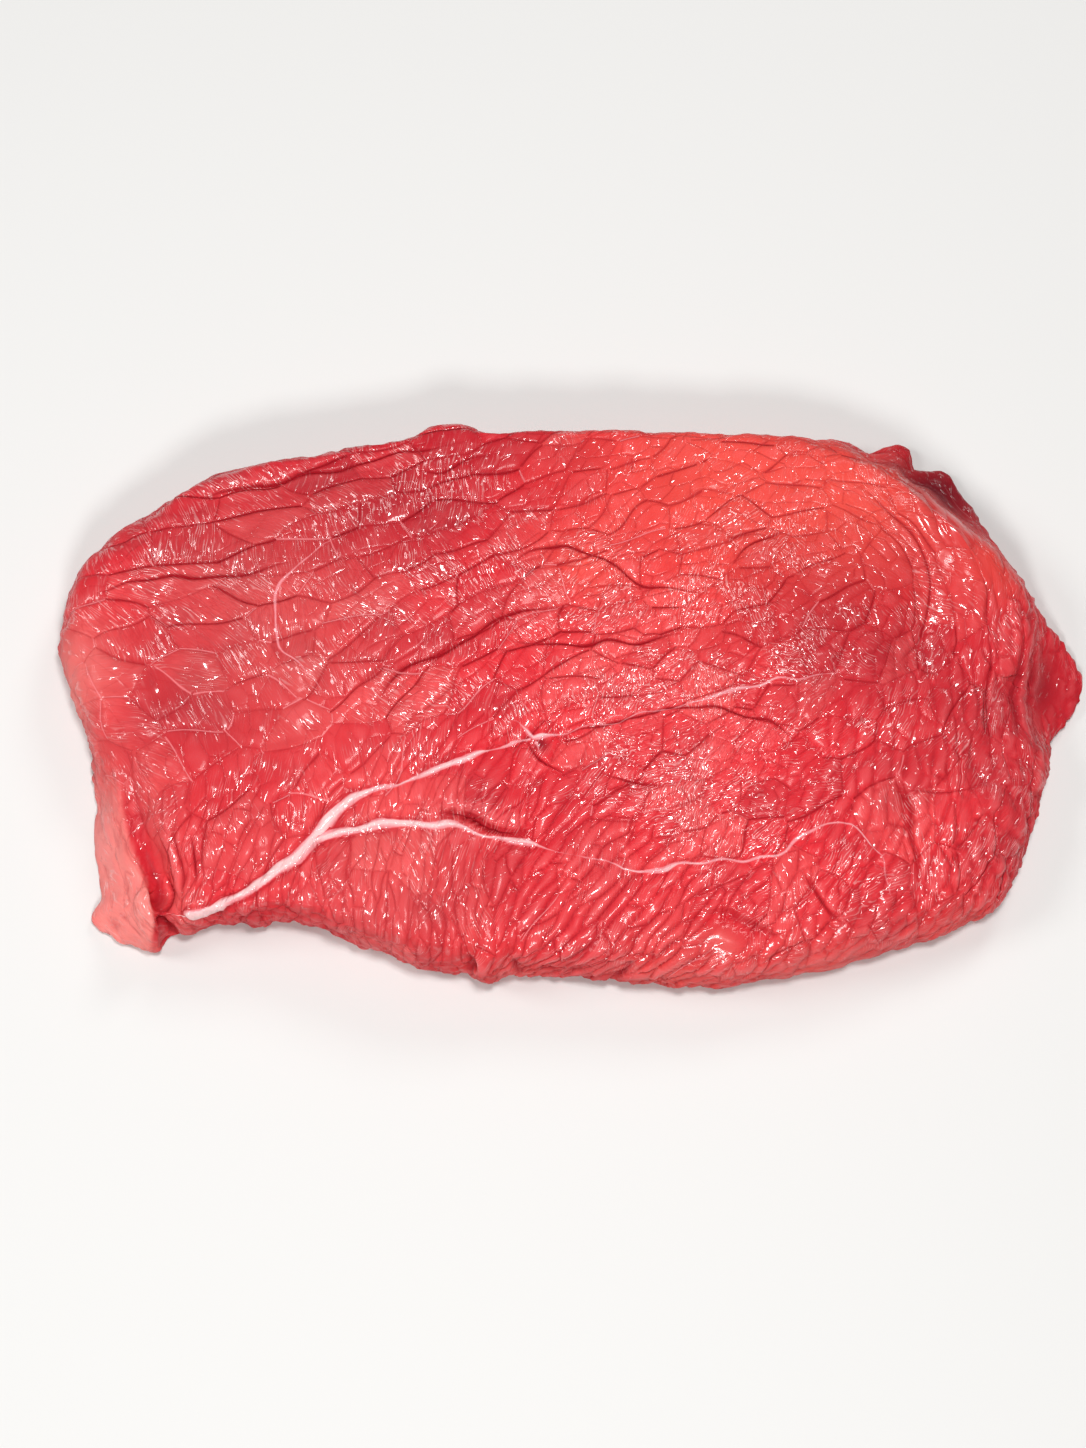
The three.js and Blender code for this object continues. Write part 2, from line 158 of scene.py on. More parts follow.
CREASES = (
    Crease(0.6, 0.39, -0.1, 1, ((-76, 39.5), (-65.8, 43.1), (-49.4, 46.8), (-35, 50.5), (-23.8, 52.7))),
    Crease(0.48, 0.34, 0.06, 1, ((-32, 47.2), (-24.8, 47.5), (-14.5, 51.2))),
    Crease(0.54, 0.39, 0.06, 1, ((-97.8, 20.6), (-85.7, 23.2), (-67.4, 24.3), (-55.2, 27.5))),
    Crease(
        0.72, 0.44, -0.12, 1,
        ((-38.8, -2.1), (-34.5, 3.7), (-26.4, 7.3), (-18.4, 12.6), (-10.3, 16.8), (0, 17.9)),
    ),
    Crease(0.54, 0.39, -0.08, 1, ((-14.3, 10.5), (-2.1, 9.4), (14.1, 10.5), (24.2, 12.6))),
    Crease(0.72, 0.39, -0.1, 1, ((-9.8, -9.4), (-6.1, -14.6), (0.9, -19.3))),
    Crease(
        0.6, 0.39, -0.08, 1,
        ((-5.1, -10.3), (5.9, -7.6), (16, -5.2), (26.1, -4), (38.2, -6.3), (46.2, -11.5)),
    ),
    Crease(0.42, 0.34, 0.06, 1, ((5.9, -16.7), (11.9, -19.8), (22, -19.8))),
    Crease(
        0.48, 0.39, 0.08, 1,
        ((-14.4, 24.9), (-5.2, 30), (4, 29.2), (11.1, 24.9), (18.2, 21.5), (30.4, 20)),
    ),
    Crease(0.42, 0.34, 0.06, 1, ((30.5, 24.3), (37.7, 30.7), (44.9, 33.9))),
    Crease(0.36, 0.36, -0.08, 0.6, ((57.4, 44.6), (67.4, 36), (73.3, 24.3), (72.5, 12.6), (67.7, 6.3))),
    Crease(0.5, 0.45, 0.1, 0.5, ((87.4, 18.9), (87.6, 6.3), (86.5, -6.3), (87.1, -20.8))),
    Crease(1.0, 0.9, 0.35, 0.25, ((94.5, 13), (95.5, 5), (95.5, -4), (94.5, -12))),
    Crease(1.0, 0.9, 0.35, 0.35, ((100, 13), (101, 5), (101, -3))),
    Crease(1.1, 0.7, 0.5, 0.6, ((65, -17), (67, -21.8), (68.2, -31.1), (69.9, -42.2))),
    Crease(0.9, 0.5, 0.35, 0.7, ((44.7, -36.2), (49.6, -44.3), (54.4, -49.3))),
    Crease(1.6, 0.8, 0.3, 0.5, ((-21, -54), (-20, -60), (-19.8, -67))),
    Crease(1.2, 0.8, -0.3, 0.5, ((-12, -56), (-10.5, -61), (-10, -67))),
    Crease(1.2, 0.8, 0.3, 0.5, ((12, -56), (11, -61), (10, -67))),
    Crease(0.3, 0.34, 0.04, 0.5, ((62, -19.8), (74, -21.4), (86.1, -18.8))),
    Crease(2.4, 0.7, 0.3, 1, ((-27, -25.9), (-20, -27.0), (-14, -28.7), (-7, -30))),
    Crease(0.6, 0.5, 0.25, 0.5, ((-84, -30), (-82.4, -35), (-81.6, -41), (-82, -45))),
    Crease(0.7, 0.5, -0.25, 0.5, ((-80.5, -27), (-79.2, -34), (-78.6, -40), (-79, -44))),
    Crease(1.2, 0.5, 0.2, 0.9, ((-84.6, -38.5), (-83.2, -43), (-82.4, -46.5))),
    Crease(0.7, 0.45, 0.08, 1, ((-76.5, -29), (-75.6, -35), (-75.8, -41))),
    Crease(1.6, 0.9, 0, 0.9, ((-82.8, -47), (-83.8, -52), (-85.5, -58), (-88, -64))),
)


class Tear(NamedTuple):
    """A torn step: a steep wall under a sharp edge, and a floor that rises again, in millimetres."""

    wall: float
    floor: float
    lip: float  # rise of the edge for each millimetre of depth
    dark: float  # how dark the painted shade in the corner under the wall is
    path: tuple[Row, ...]  # x, y and depth along the edge; the step is on its left


TEARS = (
    Tear(
        2.2, 5.0, 0.3, 0.4,
        (
            (-92.5, -12, 0), (-91, -19.9, 0.6), (-89.2, -29.2, 1.2), (-85.9, -37.9, 2.2),
            (-84.4, -42.5, 2.5), (-83.4, -46.9, 2), (-84.5, -50.5, 0.5),
        ),
    ),
    Tear(
        0.7, 6.0, 0.2, 0.4,
        (
            (43, -52, 0), (38.7, -48.8, 1.3), (33.6, -46.2, 1.5), (31.1, -44.8, 1.4), (25.2, -45.6, 0.9),
            (22.5, -48.5, 0),
        ),
    ),
)


class Nudge(NamedTuple):
    """A soft round place of the slice that is pulled aside, in millimetres."""

    x: float
    y: float
    radius: float
    right: float
    back: float


NUDGES = (
    Nudge(-88, -52, 6.5, 3.2, 0.8), Nudge(76, 59, 15, 1.2, 1.2), Nudge(104, 8, 9, 0.8, 0.2),
    Nudge(97, 17, 6, 1.2, 1.0), Nudge(60, -56, 24, -0.2, 0.8), Nudge(-15.5, -57, 3, 0, -0.8),
    Nudge(70.6, 51.5, 2.2, -0.6, -0.9), Nudge(77.7, 49, 2, 0.5, 0.5), Nudge(-62, -50, 9, 0, 0.9),
    Nudge(-40, -55, 7, 0.2, 1.5), Nudge(25, 58, 30, 0, -0.6), Nudge(10, -60, 22, 0, 0.9),
    Nudge(-72, -50, 6, 0, 0.8), Nudge(-56, -50, 4, 0, -0.8), Nudge(-79, -50, 4, 0.2, -1.4),
    Nudge(103, -5, 5, -1.1, 0.3), Nudge(97, -16, 6, 0.9, 0), Nudge(60, 58, 9, 0, 1.2),
    Nudge(86, 40, 7, 0.9, 0.8), Nudge(-99, 24, 6, -0.6, 0.3), Nudge(-89, 37, 6, 0.5, -0.6),
    Nudge(-50, 52, 7, 0, -0.8), Nudge(-72, 47, 8, -0.3, 0.7), Nudge(-98, -39.5, 2.2, 0.9, 0),
    Nudge(-98.5, -45, 2.6, -0.8, 0.4),
)

# Each fat seam is a row of points: x, y and half the fat's width there.
SEAMS: tuple[tuple[Row, ...], ...] = (
    (
        (-76.5, -47.6, 1.7), (-73, -46.6, 1.5), (-66, -42.5, 0.95), (-56, -35.4, 1.25),
        (-50, -29.2, 1.3), (-45.2, -23.6, 1.1), (-40, -21.1, 0.75), (-34.2, -19.4, 0.3),
        (-26.2, -16.3, 0.75), (-19.5, -13.7, 0.6), (-16.5, -12.7, 0.1), (-12, -11.5, 0.45),
        (-9.2, -10.7, 0.2), (-6, -9.9, 0.6), (-3, -9.3, 0.2), (5.9, -7.2, 0.12), (24.1, -3, 0.14),
        (30, -1.3, 0.42), (38.3, 1.1, 0.3), (54.5, 3.5, 0.08),
    ),
    (
        (-54, -34.5, 0.5), (-51, -31.4, 0.6), (-45.1, -29, 0.9), (-34.1, -27.8, 0.88),
        (-24.1, -28.4, 0.7), (-16.1, -30.4, 0.3), (-10, -31.7, 0.65), (-4, -33.5, 0.12),
        (3.9, -34.8, 0.09), (11, -37.3, 0.22), (18, -37.3, 0.5), (23.8, -36, 0.3), (39.8, -34.6, 0.26),
        (45, -31.5, 0.4), (49.9, -28.5, 0.2), (55.9, -28.5, 0.25), (60.7, -33.6, 0.12),
        (63.5, -41.7, 0.08),
    ),
    (
        (-48.1, 32.4, 0.08), (-55.2, 26.4, 0.15), (-58.7, 22.1, 0.3), (-60.1, 16.8, 0.24),
        (-59.3, 10.5, 0.28), (-54.7, 5.2, 0.12), (-50.6, 0, 0.06),
    ),
    (
        (-10.3, -7.3, 0.1), (-8, -9.6, 0.45), (-6.2, -13.4, 0.08),
    ),
)


class Spot(NamedTuple):
    """A soft round patch of the unrolled slice, and how strongly it counts."""

    x: float
    y: float
    radius: float
    share: float


# Pale spots: the pale knife-cut face and paler meat, and painted highlights on the rolled left rim and on
# lit slopes.
PALE_AND_HIGHLIT_SPOTS = (
    Spot(-106, 4, 12, 0.75), Spot(-103, -34, 17, 1.0), Spot(-90, -48, 9, 0.8), Spot(-98, -56, 12, 0.9),
    Spot(-60, 12, 24, 0.25), Spot(20, -62, 26, 0.05), Spot(-36, -40, 20, 0.2), Spot(80, -18, 26, 0.05),
    Spot(16, 8, 20, 0.08), Spot(26, -18, 16, 0.04), Spot(58, -66, 16, 0.12), Spot(30, -51.5, 4, 0.3),
)
CORAL_SPOTS = (
    Spot(30, 48, 28, 0.9), Spot(62, 40, 17, 0.8), Spot(88, 28, 9, 0.7), Spot(2, 27, 8, 0.5),
    Spot(20, -67, 13, 0.6), Spot(50, -67, 13, 0.6), Spot(-12, -68, 11, 0.5), Spot(82, -58, 12, 0.5),
)
# Deep spots: darker meat, and painted shade where less light falls, as over the upper left and in a small
# pit.
DEEP_AND_SHADED_SPOTS = (
    Spot(-74, -4, 22, 0.2), Spot(-6, -11.5, 1.4, 0.9), Spot(107, 4, 9, 0.5), Spot(80, 56, 13, 1.0),
    Spot(56, 17, 22, 0.35), Spot(86, -6, 18, 0.26), Spot(-66, 28, 28, 0.26), Spot(-28, 42, 22, 0.3),
    Spot(-48, 36, 12, 0.12), Spot(-24, -44, 8, 0.25),
)
CALM_SPOTS = (
    Spot(-104, -34, 17, 0.35), Spot(80, 56, 14, 0.9), Spot(105, 4, 13, 1.0), Spot(-106, 8, 8, 0.5),
    Spot(-104, 28, 7, 0.5), Spot(-90, 46, 7, 0.5), Spot(-72, 55, 7, 0.4), Spot(-98, -56, 12, 0.3),
    Spot(-114, -40, 12, 0.25), Spot(84, 27, 8, 0.7), Spot(31, -51, 5, 1.0), Spot(58, -67, 12, 0.7),
    Spot(82, -58, 10, 0.6), Spot(36, -70, 9, 0.5),
)
WET_SPOTS = (
    Spot(75, 37, 6, 1.0), Spot(80, 33, 5, 0.8), Spot(92, 28, 7, 0.6), Spot(98, -6, 5, 0.8),
    Spot(72, -56, 14, 0.8), Spot(20, -62, 16, 0.8), Spot(-5, -64, 12, 0.7), Spot(46, -62, 14, 0.8),
    Spot(-78, 30.5, 6, 0.4), Spot(-64.5, 35, 5, 0.3), Spot(-36, 36.7, 6, 0.4), Spot(-70, 50, 10, 0.3),
    Spot(-106, -34, 10, 0.55),
)


class Swell(NamedTuple):
    """Soft random waves: their length and height, and which draw they come from."""

    size: float
    reach: float
    seed: int


class Ramp(NamedTuple):
    """An even change from the first value at the low end to the last one at the high end."""

    low: float
    high: float
    first: float
    last: float


class Speckle(NamedTuple):
    """A soft pattern: from one patch to the next, and how many finer layers lie on it."""

    size: float
    detail: float

    def over(self, place: Socket, unit: float = 1.0) -> Inputs:
        """What draws the pattern over some coordinates, in which a millimetre is one unit long."""
        return {"Vector": place, "Scale": 1 / (self.size * unit), "Detail": self.detail}


def linear(code: str) -> tuple[float, float, float, float]:
    """Turns an sRGB colour into linear light.

    Args:
        code: six hex digits.

    Returns:
        Red, green, blue and alpha.
    """
    channels = [int(code[start : start + 2], 16) / 255 for start in (0, 2, 4)]
    bright = [c / 12.92 if c <= 0.04045 else ((c + 0.055) / 1.055) ** 2.4 for c in channels]
    return bright[0], bright[1], bright[2], 1.0


def bell(distance: np.ndarray, reach: float | np.ndarray) -> np.ndarray:
    """Smooth bump: 1 at no distance, and nearly 0 at twice the reach."""
    return np.exp(-((distance / reach) ** 2))


def rise(values: np.ndarray, start: float, span: float) -> np.ndarray:
    """Even climb: 0 up to the start, and 1 from the end of the span on."""
    return np.clip((values - start) / span, 0, 1)


def turned(shifts: np.ndarray, cos: float | np.ndarray, sin: float | np.ndarray) -> Pair:
    """Reads shifts in a turned frame.

    Args:
        shifts: x and y of each, in the last axis.
        cos: cosine of the angle that the frame is turned by.
        sin: sine of that angle.

    Returns:
        How far each goes along the frame's direction, and how far across it.
    """
    x, y = shifts[..., 0], shifts[..., 1]
    return x * cos + y * sin, y * cos - x * sin


def seeded_draws(seed: int) -> Iterator[float]:
    """Even random numbers from 0 to 1, the same on every run.

    Args:
        seed: where the row of numbers starts.

    Returns:
        The numbers, one after another.
    """
    state = seed
    while True:
        state = (state * DRAW_FACTOR + DRAW_STEP) % DRAW_SPAN
        yield state / DRAW_SPAN


def ripples(places: np.ndarray, size: float, seed: int, waves: int = 16) -> np.ndarray:
    """Soft random swell made of crossed waves.

    Args:
        places: x and y of each vertex.
        size: about the length of one wave.
        seed: which swell it is.
        waves: how many waves cross.

    Returns:
        A height around 0 for each vertex, seldom more than 2.
    """
    draw = np.random.default_rng(seed)
    total = np.zeros(len(places))
    for turn, phase, pace in draw.uniform(0, 1, (waves, 3)):
        along = places[:, 0] * math.cos(turn * math.tau) + places[:, 1] * math.sin(turn * math.tau)
        total += np.sin(along * math.tau / (size * (WAVE_LEAST + WAVE_RANGE * pace)) + phase * math.tau)
    return total / math.sqrt(waves / 2)


def spot_share(spots: tuple[Spot, ...], places: np.ndarray) -> np.ndarray:
    """Adds up soft patches.

    Args:
        spots: the patches.
        places: x and y of each vertex.

    Returns:
        The share at each vertex, at most 1.
    """
    total = np.zeros(len(places))
    for spot in spots:
        total += spot.share * bell(np.hypot(places[:, 0] - spot.x, places[:, 1] - spot.y), spot.radius)
    return np.minimum(total, 1.0)


def smooth_path(points: np.ndarray, steps: int = 8) -> np.ndarray:
    """Rounds a path through its points.

    Args:
        points: one row for each point; any columns past x and y are rounded with them.
        steps: stretches between two points.

    Returns:
        The rows of the rounded path.
    """
    ends = np.vstack([2 * points[0] - points[1], points, 2 * points[-1] - points[-2]])
    share = (np.arange(steps) / steps)[:, None]
    rows = []
    for before, start, stop, after in zip(ends, ends[1:], ends[2:], ends[3:]):
        bend = 2 * before - 5 * start + 4 * stop - after
        twist = 3 * start - before - 3 * stop + after
        rows.append(start + 0.5 * share * (stop - before + share * (bend + share * twist)))
    return np.vstack([*rows, points[-1:]])


def with_ends(points: tuple[Point, ...]) -> np.ndarray:
    """Adds a third column to a path, which is 1 along it and 0 at its two ends."""
    return np.array([(*point, 0.0 if point in (points[0], points[-1]) else 1.0) for point in points])


def path_distance(path: np.ndarray, places: np.ndarray, margin: float) -> Pair:
    """Measures from each vertex to a path.

    Args:
        path: rows of x, y and a third value.
        places: x and y of each vertex.
        margin: vertices further than this from the path's box count as far away.

    Returns:
        The distances, positive on the left of the path's run, and the third value at the nearest point.
    """
    low, high = path[:, :2].min(0) - margin, path[:, :2].max(0) + margin
    near = np.nonzero(((places > low) & (places < high)).all(1))[0]
    own = places[near]
    signed = np.full(len(near), FAR_AWAY)
    value = np.zeros(len(near))
    for start, stop in zip(path, path[1:]):
        run = stop[:2] - start[:2]
        share = np.clip(((own - start[:2]) @ run) / (run @ run + NEAR_ZERO), 0, 1)
        off = own - start[:2] - share[:, None] * run
        distance = np.hypot(off[:, 0], off[:, 1])
        side = np.where(run[0] * off[:, 1] - run[1] * off[:, 0] < 0, -1, 1)
        closer = distance < np.abs(signed)
        signed[closer] = (side * distance)[closer]
        value[closer] = (start[2] + share * (stop[2] - start[2]))[closer]
    all_signed, all_value = np.full(len(places), FAR_AWAY), np.zeros(len(places))
    all_signed[near], all_value[near] = signed, value
    return all_signed, all_value


@dataclass(frozen=True)
class GrainField:
    """Blends the rows of GRAIN over the slice."""

    rows: tuple[Grain, ...] = GRAIN
    reach: float = 16.0
    turns: tuple[str, ...] = ("direction", "run", "fibre")  # angles, the same after half a turn

    def blend(self, places: np.ndarray) -> dict[str, np.ndarray]:
        """Works out how the meat lies at some places.

        Args:
            places: x and y of each place.

        Returns:
            One array for each column of Grain from direction on, with directions in radians.
        """
        table = np.array(self.rows)
        away = np.hypot(places[:, None, 0] - table[:, 0], places[:, None, 1] - table[:, 1])
        weights = bell(away, self.reach) + NEAR_ZERO
        weights /= weights.sum(1, keepdims=True)
        blended = {}
        for column, name in list(enumerate(Grain._fields))[2:]:
            if name in self.turns:
                double = np.radians(table[:, column]) * 2
                blended[name] = np.arctan2(weights @ np.sin(double), weights @ np.cos(double)) / 2
            else:
                blended[name] = weights @ table[:, column]
        return blended


class BundleFit(NamedTuple):
    """Which bundle each vertex is in, and how far it is from the crease to the next one."""

    own: np.ndarray
    other: np.ndarray
    gap: np.ndarray
    along: np.ndarray  # place in the bundle, in bundle lengths
    across: np.ndarray  # place in the bundle, in bundle widths
    beside: np.ndarray  # 1 where the crease runs along the bundle, 0 where it crosses its end


@dataclass
class Bundles:
    """Bundles of fibres, each a cell grown from its middle along the grain."""

    half_size: Point  # of the slice that the first bundles fill
    seed: int
    tries: int
    outer_tries: int  # for the bundles of the walls, which lie beyond the slice's box
    names: tuple[str, str, str]  # columns of Grain for the direction, length and width
    spacing: float = 0.86  # least distance between two bundles, in bundle lengths and widths
    wall: float = 24.0  # how far the unrolled walls reach past the slice's box
    tile: float = 16.0
    reach: float = 26.0  # bundles further than this from a tile can't own a vertex in it
    grain: GrainField = field(default_factory=GrainField)

    def __post_init__(self) -> None:
        """Spreads the bundles, first over the slice and then over its unrolled walls."""
        draw = seeded_draws(self.seed)
        half = np.array(self.half_size)
        inner = np.array([[next(draw) for _ in range(3)] for _ in range(self.tries)])
        outer = np.array([[next(draw) for _ in range(3)] for _ in range(self.outer_tries)])
        inner[:, :2] = (inner[:, :2] - 0.5) * 2 * half
        outer[:, :2] = (outer[:, :2] - 0.5) * 2 * (half + self.wall)
        outer = outer[(np.abs(outer[:, :2]) > half).any(1)]
        tried = np.vstack([inner, outer])
        lie = self.grain.blend(tried[:, :2])
        angle, length, width = (lie[name] for name in self.names)
        cos, sin = np.cos(angle), np.sin(angle)
        kept: list[int] = []
        places = np.empty((len(tried), 2))
        for index, place in enumerate(tried[:, :2]):
            along, across = turned(places[: len(kept)] - place, cos[index], sin[index])
            away = (along / length[index]) ** 2 + (across / width[index]) ** 2
            if not kept or away.min() > self.spacing**2:
                places[len(kept)] = place
                kept.append(index)
        self.middles = tried[kept, :2]
        self.chance = tried[kept, 2]
        self.cos, self.sin = cos[kept], sin[kept]
        self.length, self.width = length[kept], width[kept]
        self.lie = {name: column[kept] for name, column in lie.items()}

    def place_in(self, places: np.ndarray, pick: np.ndarray) -> np.ndarray:
        """Finds places in their bundles.

        Args:
            places: x and y of each place on the unrolled slice.
            pick: the bundle that each is measured in.

        Returns:
            Bundle lengths along the bundle and bundle widths across it, from its middle.
        """
        along, across = turned(places - self.middles[pick], self.cos[pick], self.sin[pick])
        return np.stack([along / self.length[pick], across / self.width[pick]])

    def between(self, places: np.ndarray, first: np.ndarray, second: np.ndarray) -> Pair:
        """Measures to the crease between two bundles.

        Args:
            places: x and y of each place on the unrolled slice.
            first: the bundle on the positive side, for each place.
            second: the bundle on the negative side.

        Returns:
            Signed millimetres, and the direction straight across the crease.
        """
        reach, slope = [], []
        for pick in (first, second):
            cos, sin = self.cos[pick], self.sin[pick]
            along, across = self.place_in(places, pick)
            distance = np.hypot(along, across) + NEAR_ZERO
            a, b = along / self.length[pick] / distance, across / self.width[pick] / distance
            reach.append(distance)
            slope.append(np.stack([a * cos - b * sin, a * sin + b * cos]))
        run = slope[1] - slope[0]
        steepness = np.hypot(*run) + NEAR_ZERO
        return (reach[1] - reach[0]) / steepness, run / steepness

    def fit(self, places: np.ndarray) -> BundleFit:
        """Finds each vertex's bundle and its gap to the next one.

        Args:
            places: x and y of each vertex on the unrolled slice.

        Returns:
            The bundles and gaps.
        """
        own, other = np.zeros((2, len(places)), int)
        tiles = np.floor(places / self.tile).astype(int)
        for tile in np.unique(tiles, axis=0):
            rows = np.nonzero((tiles == tile).all(1))[0]
            middle = (tile + 0.5) * self.tile
            close = np.nonzero((np.abs(self.middles - middle) < self.reach).all(1))[0]
            distance = np.hypot(*self.place_in(places[rows, None], close))
            nearest = distance.argmin(1)
            own[rows] = close[nearest]
            distance[np.arange(len(rows)), nearest] = np.inf
            other[rows] = close[distance.argmin(1)]
        gap, straight = self.between(places, own, other)
        along, across = self.place_in(places, own)
        beside = (straight[1] * self.cos[own] - straight[0] * self.sin[own]) ** 2
        return BundleFit(own, other, gap, along, across, beside)

    def shared(self, name: str, fit: BundleFit) -> np.ndarray:
        """Mean of a column of Grain over the two bundles at a crease."""
        return (self.lie[name][fit.own] + self.lie[name][fit.other]) / 2

    def pair_chance(self, fit: BundleFit) -> np.ndarray:
        """A number from 0 to 1 for each crease, the same from both of its sides."""
        total = self.chance[fit.own] + self.chance[fit.other]
        return np.sin(total * SCRAMBLE_PACE) * SCRAMBLE_SPAN % 1


def add_node(tree: Tree, kind: str, inputs: Inputs = (), **settings: Any) -> Any:
    """Adds a shader node, sets it and fills its inputs.

    Args:
        tree: the material's nodes.
        kind: the node's type, without the two words that start all of them.
        inputs: values, or other nodes' outputs to link, in the order of the sockets or by their names.
        settings: the node's properties by name.

    Returns:
        The node's outputs.
    """
    node = tree.nodes.new("ShaderNode" + kind)
    for name, value in settings.items():
        setattr(node, name, value)
    for socket, value in inputs.items() if isinstance(inputs, dict) else enumerate(inputs):
        if isinstance(value, Socket):
            tree.links.new(value, node.inputs[socket])
        else:
            node.inputs[socket].default_value = value
    return node.outputs


@dataclass(frozen=True)
class RawBeef:
    """Raw beef, cut across the muscle with a knife and left wet.

    The eye sees red muscle under a film of juice: sharp small glints on every fibre, dark creases between
    the bundles, thin pale membranes and white fat, and light that soaks a little way into the meat.
    """

    name: str = "raw_beef_knife_cut"
    lean: str = "DA2B35"
    shade: str = "BE2C36"  # patches where the muscle holds more blood
    # pale meat, also used for painted highlights on the rim and on lit slopes
    pale: str = "FF938B"
    coral: str = "F2564A"
    # deep meat, also used as painted shade in dim places and in torn corners
    deep: str = "741A24"
    # painted shade: the dark red laid along the creases
    crease: str = "980C19"
    # painted shade: darker red laid into the fibres' grooves and into hollows of the relief
    groove_shade: str = "B0222C"
    # painted highlight: lighter colour on the fibres' crests and on raised places
    crest_highlight: str = "F26C6F"
    skin_glint: str = "FFD8D6"  # the fibres' thin pale skins, partly painted glints
    fat: str = "EDC0C0"
    fat_shade: str = "E1868C"
    skin: str = "F08A8E"  # thin pale membranes
    patch: Speckle = Speckle(14.0, 3.0)
    cluster: Speckle = Speckle(7.0, 1.0)
    mottle: Speckle = Speckle(2.2, 2.0)
    streak: Speckle = Speckle(0.7, 1.0)
    fibre: Speckle = Speckle(0.95, 1.5)  # finer ones wouldn't show, so these are drawn coarser
    drop: Speckle = Speckle(1.1, 0.0)
    thread: Speckle = Speckle(1.0, 1.0)
    thread_bend: Speckle = Speckle(2.6, 1.0)
    bend_reach: float = 5.0  # how many threads wide a bend may be
    thread_gap: float = 0.58
    plumpness: float = 0.6
    # the creases' lines are painted shade; the shoulders beside them are only bumps
    crease_widths: Row = (0.3, 0.27, 0.34)  # of bundle, strand and long creases
    shoulder_widths: Row = (0.65, 0.6, 0.65)
    crease_shades: Row = (1.0, 1.0, 0.9)
    membrane_width: float = 0.24
    membrane_share: float = 0.6
    line_least: float = 0.4  # a line is this share of its width, and up to the range wider
    line_range: float = 1.2
    crease_depth: float = 0.16
    shoulder_depth: float = 0.15
    fibre_depth: float = 0.12
    drop_depth: float = 0.19
    thread_depth: float = 0.06
    streak_stretch: float = 0.1  # the fat's streaks are ten times as long as wide
    fat_fray: float = 0.35
    core_fray: float = 1.4
    fat_edge: Ramp = Ramp(0.05, 0.4, 0.0, 1.0)
    fat_core: Ramp = Ramp(0.75, 1.4, 0.0, 1.0)
    crest_juice: float = 0.8  # more drops for each millimetre that a crest stands up
    film_juice: float = -0.2  # fewer drops where the film is unbroken
    drop_level: Ramp = Ramp(0.0, 1.0, 0.63, 0.36)
    drop_dome: Ramp = Ramp(0.0, 0.3, 0.0, 1.0)
    drop_film: Ramp = Ramp(0.0, 0.15, 0.06, 1.0)
    crease_dry: Ramp = Ramp(0.0, 0.4, 1.0, 0.0)
    crest_film: Ramp = Ramp(0.12, 0.42, 0.0, 0.7)
    cluster_fine: Ramp = Ramp(0.42, 0.58, 0.15, 1.4)
    thread_core: Ramp = Ramp(0.08, 0.22, 1.0, 0.0)
    thread_breaks: Ramp = Ramp(0.44, 0.56, 0.0, 1.0)
    blotch: Ramp = Ramp(0.42, 0.7, 0.0, 0.8)
    # painted shade in the fibres' grooves, then painted highlights on their crests
    fibre_groove_shade: Ramp = Ramp(0.05, 0.3, 0.25, 0.0)
    fibre_crest_highlight: Ramp = Ramp(0.35, 0.65, 0.0, 0.2)
    skin_glint_share: Ramp = Ramp(0.0, 1.0, 0.0, 0.3)
    # painted shade in hollows, then painted highlights on raised places
    hollow_shade: Ramp = Ramp(-0.35, -0.03, 0.72, 0.0)
    raised_highlight: Ramp = Ramp(0.0, 0.25, 0.0, 0.35)
    roughness: Ramp = Ramp(0.3, 0.7, 0.3, 0.46)
    meat_ior: float = 1.4
    meat_gloss: float = 0.05
    soak: float = 0.1  # share of the light that soaks in
    soak_radius: Row = (1.0, 0.3, 0.2)
    soak_depth: float = 1.8
    juice_roughness: float = 0.14
    juice_ior: float = 1.65

    def build(self) -> bpy.types.Material:
        """Makes the material.

        Returns:
            The material, with its nodes.
        """
        material = bpy.data.materials.new(self.name)
        material.use_nodes = True
        tree = material.node_tree
        tree.nodes.clear()
        stored = {entry: add_node(tree, "Attribute", attribute_name=entry.value) for entry in Field}
        relief, shine, slope = (stored[entry]["Fac"] for entry in (Field.RELIEF, Field.SHINE, Field.SLOPE))
        place = add_node(tree, "TexCoord")["Object"]
        along, across, stand = add_node(tree, "SeparateXYZ", (stored[Field.FIBRE]["Vector"],))
        fibre = add_node(tree, "CombineXYZ", (along, across))["Vector"]
        patch, cluster, mottle = (
            add_node(tree, "TexNoise", speckle.over(place, MM))["Fac"]
            for speckle in (self.patch, self.cluster, self.mottle)
        )
        clustered = add_node(tree, "MapRange", (cluster, *self.cluster_fine))[0]
        fine = add_node(tree, "Math", (stand, clustered), operation="MULTIPLY")[0]
        fibres = self.plump(tree, fibre, stand)
        threads = self.threads(tree, fibre, fine)
        crease, shoulder, membrane = self.crease_shares(tree, stored, mottle)
        fat_share, fat_core = self.fat_shares(tree, stored[Field.FAT]["Vector"], mottle)
        drops, wet = self.juice(tree, fibre, fine, relief, shine, crease, threads)
        colour = self.colour(tree, stored[Field.TONE]["Vector"], patch, fibres, threads, relief)
        fats = {MIX_SHARE: fat_core, MIX_UNDER: linear(self.fat_shade), MIX_OVER: linear(self.fat)}
        fat = add_node(tree, "Mix", fats, data_type="RGBA")[MIX_RESULT]
